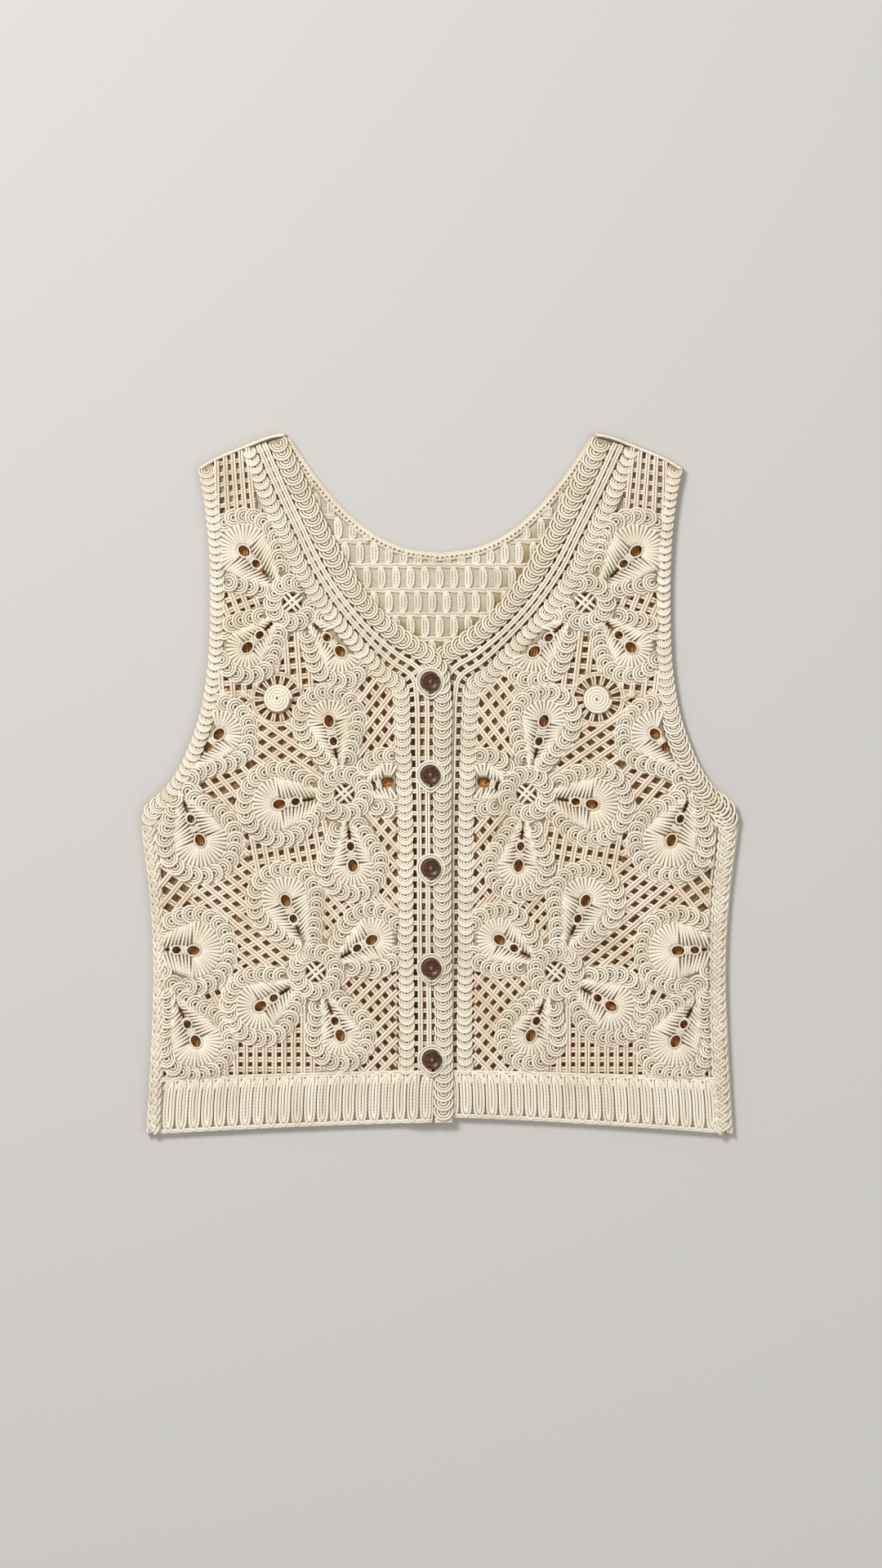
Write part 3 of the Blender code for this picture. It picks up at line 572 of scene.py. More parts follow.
def facing_up(points: Array, faces: Array) -> Array:
    """The faces, each turned so that it looks up.

    Args:
        points: the corners.
        faces: three point numbers for each face.

    Returns:
        The faces.
    """
    a, b, c = (points[faces[:, i], :2] for i in range(3))
    area = (b[:, 0] - a[:, 0]) * (c[:, 1] - a[:, 1]) - (b[:, 1] - a[:, 1]) * (c[:, 0] - a[:, 0])
    return np.where((area < 0)[:, None], faces[:, ::-1], faces)


def plan_mesh(loops: Sequence[Array], keep: PointRule, spacing: float) -> tuple[Array, Array]:
    """Triangles over an area of the plan, with its loops kept as edges.

    Args:
        loops: closed loops of plan points.
        keep: given points, says which lie in the area.
        spacing: how far apart the points within the area are.

    Returns:
        The plan points and the triangles.
    """
    points, edges = [], []
    for loop in loops:
        first, count = len(points), len(loop)
        points += [tuple(point) for point in loop]
        edges += [(first + i, first + (i + 1) % count) for i in range(count)]
    low, high = np.min(points, axis=0), np.max(points, axis=0)
    xs, ys = (np.arange(low[i], high[i], spacing) for i in range(2))
    fill = np.stack(np.meshgrid(xs, ys), axis=2).reshape(-1, 2)
    points += [tuple(point) for point in fill[keep(fill)]]
    verts, _, faces, *_ = delaunay_2d_cdt(points, edges, [], 0, 1e-4)
    verts = np.array([tuple(v) for v in verts])
    faces = np.array([face for face in faces if len(face) == 3])
    faces = faces[keep(verts[faces].mean(axis=1))]
    used, index = np.unique(faces, return_inverse=True)
    return verts[used], index.reshape(-1, 3)


# Finishes


def add_node(
    tree: bpy.types.NodeTree, kind: str, links: dict | None = None, ramp: Sequence = (), **settings: object
) -> bpy.types.Node:
    """Adds a node, sets its properties, inputs and colour ramp, and links its inputs.

    Args:
        tree: the material's node tree.
        kind: the node's Blender type.
        links: input name or number to the socket that feeds it, or to its value.
        ramp: a colour ramp's stops, each a position and an sRGB hex colour.
        **settings: node properties, or inputs by name with spaces as underscores.

    Returns:
        The node.
    """
    made = tree.nodes.new(kind)
    for key, value in settings.items():
        if hasattr(made, key):
            setattr(made, key, value)
        else:
            made.inputs[key.replace("_", " ")].default_value = value
    for key, source in (links or {}).items():
        if isinstance(source, bpy.types.NodeSocket):
            tree.links.new(source, made.inputs[key])
        else:
            made.inputs[key].default_value = source
    for index, (position, colour) in enumerate(ramp):
        made.color_ramp.elements[index].position = position
        made.color_ramp.elements[index].color = linear(colour)
    return made


def linear(colour: str) -> tuple[float, float, float, float]:
    """Takes an sRGB hex colour to linear.

    Args:
        colour: such as #fdf5e4.

    Returns:
        Linear red, green and blue, and an alpha of 1.
    """
    parts = [int(colour[i : i + 2], 16) / 255 for i in (1, 3, 5)]
    made = [v / 12.92 if v <= 0.04045 else ((v + 0.055) / 1.055) ** 2.4 for v in parts]
    return made[0], made[1], made[2], 1.0


def start_material(name: str, roughness: float) -> tuple[bpy.types.Material, bpy.types.Node]:
    """Starts a material that isn't metal.

    Args:
        name: the material's name.
        roughness: how matt it is.

    Returns:
        The material and its shader.
    """
    made = bpy.data.materials.new(name)
    made.use_nodes = True
    shader = made.node_tree.nodes["Principled BSDF"]
    shader.inputs["Roughness"].default_value = roughness
    shader.inputs["Metallic"].default_value = 0.0
    return made, shader


def shade_cotton(
    tree: bpy.types.NodeTree, cream: bpy.types.NodeSocket, brown: bpy.types.NodeSocket
) -> bpy.types.NodeSocket:
    """Paints shade into cotton: from cream through a dim olive to the painted brown shade that shows in the
    lace's gaps.

    Args:
        tree: the material's node tree.
        cream: the open cotton's colour.
        brown: the colour in full shade.

    Returns:
        The colour for each point's shade.
    """
    shade = add_node(tree, "ShaderNodeAttribute", attribute_name="shade")
    colour = cream
    # the dim olive is the half-way colour of the painted shade
    for start, deeper in ((0.0, linear("#a48c5e")), (0.5, brown)):
        inputs = {0: shade.outputs["Fac"], "From Min": start, "From Max": start + 0.5}
        part = add_node(tree, "ShaderNodeMapRange", inputs)
        inputs = {"Factor": part.outputs[0], 6: colour, 7: deeper}
        colour = add_node(tree, "ShaderNodeMix", inputs, data_type="RGBA").outputs[2]
    return colour


@dataclass(frozen=True)
class CottonYarn:
    """Undyed mercerised cotton yarn, plied from strands, worked by hand.

    Cotton is matt with a soft edge glow from its fibre ends, and each turn of the ply shows as a fine slant
    line. Undyed yarn drifts in tone along its length; its flanks are painted a shade of warmer grey, and under
    the lace a painted brown shade.
    """

    name: str
    light: str = "#fdf5e4"
    dark: str = "#ebdfc6"
    painted_flank_shade: str = "#a8977b"  # painted shade, multiplied onto the yarn's flanks, where its neighbours keep the light out
    painted_flank_from: float = 0.12
    painted_flank_to: float = 0.72
    # painted shade: the mottled brown that the shade attribute mixes in under the lace
    shaded_dark: str = "#b97638"
    shaded_light: str = "#d39852"
    roughness: float = 0.86
    tone_spread: float = 0.14
    ply_turn: float = 2.6  # millimetres along the yarn from one ply to the next
    ply_depth: float = 0.18  # millimetres
    bump: float = 0.5

    def make(self) -> bpy.types.Material:
        """Builds the material.

        Returns:
            The material.
        """
        made, shader = start_material(self.name, self.roughness)
        shader.inputs["Sheen Weight"].default_value = 0.25
        shader.inputs["Sheen Roughness"].default_value = 0.5
        shader.inputs["Sheen Tint"].default_value = linear("#fff6e4")
        tree = made.node_tree
        place = add_node(tree, "ShaderNodeTexCoord")
        at = {"Vector": place.outputs["Object"]}
        drift = add_node(tree, "ShaderNodeTexNoise", at, Scale=28.0, Detail=3.0)
        tone = add_node(tree, "ShaderNodeAttribute", attribute_name="tone")
        inputs = {0: tone.outputs["Fac"], 1: self.tone_spread}
        spread = add_node(tree, "ShaderNodeMath", inputs, operation="MULTIPLY")
        inputs = {0: drift.outputs["Fac"], 1: spread.outputs[0]}
        mixed = add_node(tree, "ShaderNodeMath", inputs, operation="SUBTRACT", use_clamp=True)
        stops = ((0.25, self.light), (0.85, self.dark))
        cream = add_node(tree, "ShaderNodeValToRGB", {"Fac": mixed.outputs[0]}, stops)
        # painted shade: mottles the painted brown
        shade_mottle = add_node(tree, "ShaderNodeTexNoise", at, Scale=90.0, Detail=2.0)
        stops = ((0.35, self.shaded_dark), (0.65, self.shaded_light))
        brown = add_node(tree, "ShaderNodeValToRGB", {"Fac": shade_mottle.outputs["Fac"]}, stops)
        shaded = shade_cotton(tree, cream.outputs["Color"], brown.outputs["Color"])
        # Painted shade: the colour is multiplied darker on each tube's flanks, where the object-space normal
        # leans away from upright.
        normal = add_node(tree, "ShaderNodeSeparateXYZ", {0: place.outputs["Normal"]})
        upright = add_node(tree, "ShaderNodeMath", {0: normal.outputs["Z"]}, operation="ABSOLUTE")
        stops = ((self.painted_flank_from, self.painted_flank_shade), (self.painted_flank_to, "#ffffff"))
        painted_flank_shade = add_node(tree, "ShaderNodeValToRGB", {"Fac": upright.outputs[0]}, stops)
        inputs = {"Factor": 1.0, 6: shaded, 7: painted_flank_shade.outputs["Color"]}
        seen = add_node(tree, "ShaderNodeMix", inputs, data_type="RGBA", blend_type="MULTIPLY")
        tree.links.new(seen.outputs[2], shader.inputs["Base Color"])
        thread = add_node(tree, "ShaderNodeUVMap", uv_map="yarn")
        parts = add_node(tree, "ShaderNodeSeparateXYZ", {0: thread.outputs["UV"]})
        turns = add_node(tree, "ShaderNodeMath", {0: parts.outputs["X"], 1: self.ply_turn}, operation="DIVIDE")
        slant = add_node(tree, "ShaderNodeMath", {0: turns.outputs[0], 1: parts.outputs["Y"]}, operation="ADD")
        wave = add_node(tree, "ShaderNodeMath", {0: slant.outputs[0], 1: 2 * math.pi}, operation="MULTIPLY")
        ply = add_node(tree, "ShaderNodeMath", {0: wave.outputs[0]}, operation="SINE")
        inputs = {"Height": ply.outputs[0], "Distance": self.ply_depth * MM}
        raised = add_node(tree, "ShaderNodeBump", inputs, Strength=self.bump)
        tree.links.new(raised.outputs["Normal"], shader.inputs["Normal"])
        return made


@dataclass(frozen=True)
class CottonGround:
    """The same cotton seen deep between the stitches, as a tight ground of chain.

    Less light reaches it, so its colour is painted a step darker and warmer than the yarn on top, as painted
    shade, and under the lace it takes the painted brown shade.
    """

    name: str
    cream: str = "#bfb092"
    dark: str = "#94825f"
    # painted shade: the brown of the ground under the lace
    shaded_dark: str = "#a66b35"
    shaded_light: str = "#c48b49"
    roughness: float = 0.92
    stitch: float = 420.0  # chains to a metre, 2.4 mm each
    depth: float = 0.4  # millimetres

    def make(self) -> bpy.types.Material:
        """Builds the material.

        Returns:
            The material.
        """
        made, shader = start_material(self.name, self.roughness)
        tree = made.node_tree
        at = {"Vector": add_node(tree, "ShaderNodeTexCoord").outputs["Object"]}
        stitches = add_node(tree, "ShaderNodeTexVoronoi", at, Scale=self.stitch)
        stops = ((0.0, self.cream), (1.0, self.dark))
        cream = add_node(tree, "ShaderNodeValToRGB", {"Fac": stitches.outputs["Distance"]}, stops)
        # painted shade: mottles the painted brown of the ground
        shade_mottle = add_node(tree, "ShaderNodeTexNoise", at, Scale=70.0, Detail=2.0)
        stops = ((0.35, self.shaded_dark), (0.7, self.shaded_light))
        brown = add_node(tree, "ShaderNodeValToRGB", {"Fac": shade_mottle.outputs["Fac"]}, stops)
        shaded = shade_cotton(tree, cream.outputs["Color"], brown.outputs["Color"])
        tree.links.new(shaded, shader.inputs["Base Color"])
        inputs = {"Height": stitches.outputs["Distance"], "Distance": self.depth * MM}
        raised = add_node(tree, "ShaderNodeBump", inputs, Strength=0.6)
        tree.links.new(raised.outputs["Normal"], shader.inputs["Normal"])
        return made


@dataclass(frozen=True)
class HornResin:
    """Cast polyester resin made to look like horn, turned and polished.

    It is dark brown with lighter clouded streaks, and its clear polish gives small sharp highlights.
    """

    name: str
    dark: str = "#2e140a"
    light: str = "#7a4422"
    roughness: float = 0.4
    ior: float = 1.54
    cloud: float = 420.0  # clouds to a metre, 2.4 mm each

    def make(self) -> bpy.types.Material:
        """Builds the material.

        Returns:
            The material.
        """
        made, shader = start_material(self.name, self.roughness)
        shader.inputs["IOR"].default_value = self.ior
        shader.inputs["Coat Weight"].default_value = 0.1
        tree = made.node_tree
        at = {"Vector": add_node(tree, "ShaderNodeTexCoord").outputs["Object"]}
        cloud = add_node(tree, "ShaderNodeTexNoise", at, Scale=self.cloud, Detail=4.0, Distortion=1.6)
        stops = ((0.42, self.dark), (0.72, self.light))
        tint = add_node(tree, "ShaderNodeValToRGB", {"Fac": cloud.outputs["Fac"]}, stops)
        tree.links.new(tint.outputs["Color"], shader.inputs["Base Color"])
        return made


@dataclass(frozen=True)
class PaleFloor:
    """Painted board: an even, matt pale grey."""

    name: str = "matt_painted_board"
    colour: str = "#cfcdc9"

    def make(self) -> bpy.types.Material:
        """Builds the material.

        Returns:
            The material.
        """
        made, shader = start_material(self.name, 0.9)
        shader.inputs["Base Color"].default_value = linear(self.colour)
        return made


@dataclass
class Finishes:
    """Every material of the vest and its stage."""

    yarn: bpy.types.Material = field(default_factory=lambda: CottonYarn("plied_cotton_yarn").make())
    net: bpy.types.Material = field(
        default_factory=lambda: CottonYarn(
            "plied_cotton_net_yarn", light="#fdf0dd", dark="#e8d2b4"
        ).make()
    )
    back: bpy.types.Material = field(
        default_factory=lambda: CottonYarn(
            "plied_cotton_back_yarn", light="#f6efdd", dark="#d9ccb0"
        ).make()
    )
    ground: bpy.types.Material = field(default_factory=lambda: CottonGround("cotton_chain_ground").make())
    back_ground: bpy.types.Material = field(
        default_factory=lambda: CottonGround("cotton_back_ground", cream="#d6cebb", dark="#bfb49c").make()
    )
    horn: bpy.types.Material = field(default_factory=lambda: HornResin("polished_horn_resin").make())
    floor: bpy.types.Material = field(default_factory=lambda: PaleFloor().make())


# Stitches


@dataclass
class ScallopTape:
    """Crocheted tape: round shells of nested yarn arcs, each lying over the next one."""

    pitch: float = 6.3
    crest: float = 3.4
    tilt: float = 0.9
    dome: float = 1.3
    arcs: tuple[float, ...] = (0.9, 0.61, 0.31)
    reach: float = math.radians(118)
    stretch: float = 0.95

    def shells(self, stations: Array, runs: Array, half_width: Array) -> list[Array]:
        """The arcs' paths, with heights over the cloth's underside.

        Args:
            stations: (n, 2) centres in plan.
            runs: (n, 2) unit directions that the shells point in.
            half_width: (n,) half the tape's width.

        Returns:
            For each nested arc, its paths, (n, point, 3).
        """
        normal = np.stack([-runs[:, 1], runs[:, 0]], axis=1)
        found = []
        for share, count in zip(self.arcs, (13, 10, 7)):
            turn = np.linspace(-self.reach, self.reach, count)
            forward = share * self.stretch * np.cos(turn)
            beside = share * np.sin(turn)
            width = half_width[:, None, None]
            plan = stations[:, None] + width * (
                forward[None, :, None] * runs[:, None] + beside[None, :, None] * normal[:, None]
            )
            height = self.crest + self.tilt * np.cos(turn) * share - self.dome * beside**2
            found.append(lifted(plan, height))
        return found


def lay_tape(
    work: YarnWork,
    tape: ScallopTape,
    line: Array,
    place: PointRule,
    keep: PointRule | None = None,
    lower: PointRule | None = None,
) -> None:
    """Works a scallop tape along a line.

    Args:
        work: the yarns to add to.
        tape: the tape's sizes.
        line: (n, 3) plan points and the half width there.
        place: takes paths to where they lie.
        keep: says at which stations a shell is worked.
        lower: presses paths down where another piece lies on them.
    """
    stations, runs = along(line, tape.pitch)
    if keep is not None:
        chosen = keep(stations)
        stations, runs = stations[chosen], runs[chosen]
    if not len(stations):
        return
    for order, paths in enumerate(tape.shells(stations[:, :2], runs, stations[:, 2])):
        if lower is not None:
            paths = lower(paths)
        ends = np.linspace(-1, 1, paths.shape[1])
        size = TAPE_RADIUS * (1.28, 1.12, 1.05)[order] * (1.0 - 0.3 * ends**4)
        work.lay(place(paths), np.broadcast_to(size, paths.shape[:2]), sides=5)


@dataclass
class Petal:
    """A teardrop of tape: a wide end round its eye, and sides that run in to its root."""

    eye_x: float
    eye_y: float
    root_x: float
    root_y: float
    tip_radius: float
    second_hole: float
    root_radius: float = 9.0
    eye_size: tuple[float, float] = (5.0, 3.8)
    second_size: tuple[float, float] = (3.5, 3.0)
    slit_size: tuple[float, float] = (4.2, 1.0)

    @property
    def eye(self) -> Array:
        """The eye's middle."""
        return np.array([self.eye_x, self.eye_y])

    @property
    def root(self) -> Array:
        """The root's middle."""
        return np.array([self.root_x, self.root_y])

    def axis(self) -> tuple[Array, float]:
        """The unit direction from root to eye, and their distance.

        Returns:
            The direction and the distance.
        """
        run = self.eye - self.root
        length = float(np.hypot(*run))
        return run / length, length

    def lean(self) -> float:
        """How far the sides turn in from parallel to the axis."""
        return math.asin((self.tip_radius - self.root_radius) / self.axis()[1])

    def depth(self, points: Array) -> Array:
        """How far each point lies inside the outline, and under nothing outside.

        Args:
            points: (..., 2) or (..., 3) points, in millimetres.

        Returns:
            Millimetres for each point.
        """
        run, length = self.axis()
        relative = points[..., :2] - self.root
        forward = relative @ run
        beside = np.abs(relative @ np.array([-run[1], run[0]]))
        lean = self.lean()
        on_side = beside * math.sin(lean) + forward * math.cos(lean)
        from_root = self.root_radius - np.hypot(beside, forward)
        from_tip = self.tip_radius - np.hypot(beside, forward - length)
        from_side = self.root_radius - (beside * math.cos(lean) - forward * math.sin(lean))
        far = np.where(on_side > length * math.cos(lean), from_tip, from_side)
        return np.where(on_side < 0.0, from_root, far)

    def contour(self, inset: float, steps: int = 28) -> Array:
        """The open line this far inside the outline: up one side, round the tip and back.

        Args:
            inset: millimetres.
            steps: points round the tip.

        Returns:
            Plan points.
        """
        run, _ = self.axis()
        heading = math.atan2(run[1], run[0])
        half_turn = math.pi / 2 + self.lean()
        turns = heading + np.linspace(-half_turn, half_turn, steps)
        tip = self.tip_radius - inset
        arc = self.eye + tip * unit(turns)
        root = self.root_radius - inset
        ends = []
        for turn in (turns[0], turns[-1]):
            out = unit(turn)
            ends.append(self.root + max(root, 1.5) * out)
        return np.vstack([ends[0], arc, ends[1]])

    def tape_line(self) -> Array:
        """The middle of the tape with half its width: the sides close in on the spine past the second hole.

        Returns:
            x, y and half width for each point.
        """
        tip, root = self.contour(TAPE_WIDTH / 2), self.contour(TAPE_WIDTH / 2)
        run, length = self.axis()
        rows = []
        for first, last in ((tip[1], root[0]), (tip[-2], root[-1])):
            share = np.linspace(0.0, 1.0, 9)[1:, None]
            side = first * (1 - share) + last * share
            spine = self.root + np.outer((side - self.root) @ run, run)
            away = side - spine
            width = np.linalg.norm(away, axis=1, keepdims=True)
            target = np.maximum(width - 4.5 * np.sin(np.minimum(share * 1.7, 1.0) * math.pi / 2), 6.2)
            side = spine + away * np.where(width > 6.2, target / np.maximum(width, 1e-6), 1.0)
            rows.append(np.hstack([side, TAPE_WIDTH / 2 + 0.2 + 0.6 * share]))
        middle = lifted(tip[1:-1], TAPE_WIDTH / 2 + 0.2)
        return np.vstack([rows[0][::-1], middle, rows[1]])

    def outline(self, inset: float, steps: int = 36) -> Array:
        """The closed outline, this far in.

        Args:
            inset: millimetres.
            steps: points round the tip.

        Returns:
            Plan points.
        """
        run, _ = self.axis()
        heading = math.atan2(run[1], run[0])
        half_turn = math.pi / 2 + self.lean()
        tip = heading + np.linspace(-half_turn, half_turn, steps)
        back = heading + np.linspace(half_turn, 2 * math.pi - half_turn, 8)
        loops = (
            self.eye + (self.tip_radius - inset) * unit(tip),
            self.root + (self.root_radius - min(inset, 6.0)) * unit(back),
        )
        return np.vstack(loops)

    def holes(self, grow: float = 0.0) -> list[Array]:
        """The eye, the second hole and the slit, as closed loops.

        Args:
            grow: millimetres added to each radius.

        Returns:
            Three loops of 16 plan points.
        """
        run, _ = self.axis()
        sideways = np.array([-run[1], run[0]])
        found = []
        places = (0.0, self.second_hole, self.second_hole + 9.6)
        for back, size in zip(places, (self.eye_size, self.second_size, self.slit_size)):
            turn = np.arange(16) * 2 * math.pi / 16
            middle = self.eye - run * back
            loop = middle + np.outer((size[0] + grow) * np.cos(turn), run)
            found.append(loop + np.outer((size[1] + grow) * np.sin(turn), sideways))
        return found

    def spine_half_width(self, back: Array) -> Array:
        """Half the width of the opening down the spine, this far from the eye towards the root.

        Args:
            back: millimetres from the eye.

        Returns:
            Millimetres for each.
        """
        width = np.full(np.shape(back), 0.7)
        for middle, size in ((0.0, self.eye_size), (self.second_hole, self.second_size)):
            share = np.clip(1 - ((back - middle) / size[0]) ** 2, 0.0, 1.0)
            width = np.maximum(width, size[1] * np.sqrt(share))
        return width

    def stitches(self, pitch: float = 3.8) -> Array:
        """Long stitches from the spine out to the tape.

        Args:
            pitch: millimetres between them at the tape.

        Returns:
            (stitch, point, 3) paths.
        """
        run, length = self.axis()
        sideways = np.array([-run[1], run[0]])
        inner = self.tip_radius - TAPE_WIDTH
        lean = self.lean()
        count = int(round(math.pi * (inner + 2.0) / pitch / 2)) * 2
        turns = np.linspace(-math.pi / 2, math.pi / 2, count + 1)
        out = np.outer(np.cos(turns), run) + np.outer(np.sin(turns), sideways)
        start_reach = 1 / np.hypot(np.cos(turns) / self.eye_size[0], np.sin(turns) / self.eye_size[1])
        starts = [self.eye + out * (start_reach + 0.4)[:, None]]
        stops = [self.eye + out * (inner + 1.6)]
        reach = max(27.0, length - 12.0)
        backs = np.arange(pitch * 0.9, reach, pitch * 0.8)
        for sign in (-1.0, 1.0):
            width = self.spine_half_width(backs)
            fan = 5.0 * ramp(backs, 0.0, 16.0)
            ahead = backs - fan
            half = inner + 1.4 + 1.8 * ramp(ahead, 4.0, 14.0) - ahead * min(math.tan(lean) + 0.05, 0.52)
            begin = self.eye - np.outer(backs, run) + np.outer(sign * (width + 0.4), sideways)
            end = self.eye - np.outer(backs - fan, run) + np.outer(sign * np.maximum(half, width + 2), sideways)
            starts.append(begin)
            stops.append(end)
        start, stop = np.vstack(starts), np.vstack(stops)
        share = np.linspace(0, 1, 6)[None, :, None]
        plan = start[:, None] * (1 - share) + stop[:, None] * share
        height = 3.2 - 0.8 * share[..., 0] ** 2 + 0.7 * np.sin(math.pi * share[..., 0])
        return lifted(plan, height)

    def bars(self) -> Array:
        """The yarns that cross between the eye, the second hole and the slit.

        Returns:
            (bar, point, 3) paths.
        """
        run, _ = self.axis()
        sideways = np.array([-run[1], run[0]])
        first = self.second_hole / 2 + 0.8
        places = [first - 1.5, first, first + 1.5, self.second_hole + 4.6]
        share = np.linspace(-1, 1, 5)
        paths = []
        for back in places:
            middle = self.eye - run * back
            plan = middle + np.outer(share * 3.6, sideways)
            paths.append(lifted(plan, 3.5 + 0.5 * (1 - share**2)))
        return np.array(paths)


PETALS = (
    Petal(-151.2, 450.5, -114.0, 410.8, 34.0, 13.5),
    Petal(-148.7, 376.1, -114.0, 410.8, 29.0, 13.5),
    Petal(-76.9, 373.0, -114.0, 410.8, 29.5, 15.0),
    Petal(-170.7, 309.3, -204.1, 271.5, 31.5, 13.5),
    Petal(-185.2, 227.4, -204.1, 271.5, 34.6, 18.0),
    Petal(-85.7, 319.4, -73.7, 263.3, 29.5, 16.0),
    Petal(-41.0, 272.2, -73.7, 263.3, 27.7, 11.5),
    Petal(-67.4, 207.9, -73.7, 263.3, 29.0, 15.0),
    Petal(-124.1, 255.2, -73.7, 263.3, 34.0, 12.8),
    Petal(-190.3, 142.4, -222.4, 143.6, 35.3, 13.0),
    Petal(-188.4, 72.5, -210.4, 116.6, 33.4, 14.6),
    Petal(-119.1, 180.8, -95.8, 126.0, 31.5, 15.0),
    Petal(-52.9, 150.6, -95.8, 126.0, 30.2, 12.8),
    Petal(-76.9, 76.9, -95.8, 126.0, 28.4, 12.0),
    Petal(-138.6, 99.5, -95.8, 126.0, 32.1, 12.0),
)
FLOWER_CENTRES = ((-114.0, 410.8), (-73.7, 263.3), (-95.8, 126.0))
ROSETTE = (-125.4, 336.4)


@dataclass(frozen=True)
class NetField:
    """A stretch of net: its middle, and its two steps from gap to gap."""

    middle: tuple[float, float]
    step: tuple[float, float]
    cross: tuple[float, float]


NET_FIELDS = (
    NetField((-114.0, 366.0), (8.6, 0.8), (-0.6, 8.4)),
    NetField((-122.0, 303.0), (7.6, 5.4), (7.6, -5.4)),
    NetField((-48.5, 319.0), (5.7, -6.3), (5.2, 6.9)),
    NetField((-167.0, 266.0), (8.8, 3.8), (7.0, -8.0)),
    NetField((-206.0, 196.0), (8.6, -5.8), (6.0, 7.4)),
    NetField((-106.5, 221.0), (8.0, 1.5), (-1.5, 8.0)),
    NetField((-172.0, 180.0), (7.6, 4.1), (7.2, -6.0)),
    NetField((-148.7, 150.0), (7.6, 4.1), (7.2, -6.0)),
    NetField((-131.7, 62.0), (7.4, 0.0), (0.0, 7.5)),
    NetField((-48.0, 90.0), (5.6, -6.6), (5.6, 5.6)),
    NetField((-40.0, 222.0), (5.6, 6.6), (5.6, -6.6)),
    NetField((-213.0, 55.0), (7.5, 0.0), (0.0, 7.5)),
    NetField((-198.0, 108.0), (7.5, 3.0), (4.0, -7.0)),
    NetField((-155.0, 412.0), (7.5, 3.0), (3.0, -7.5)),
    NetField((-82.0, 165.0), (5.6, 5.0), (5.0, -5.6)),
)


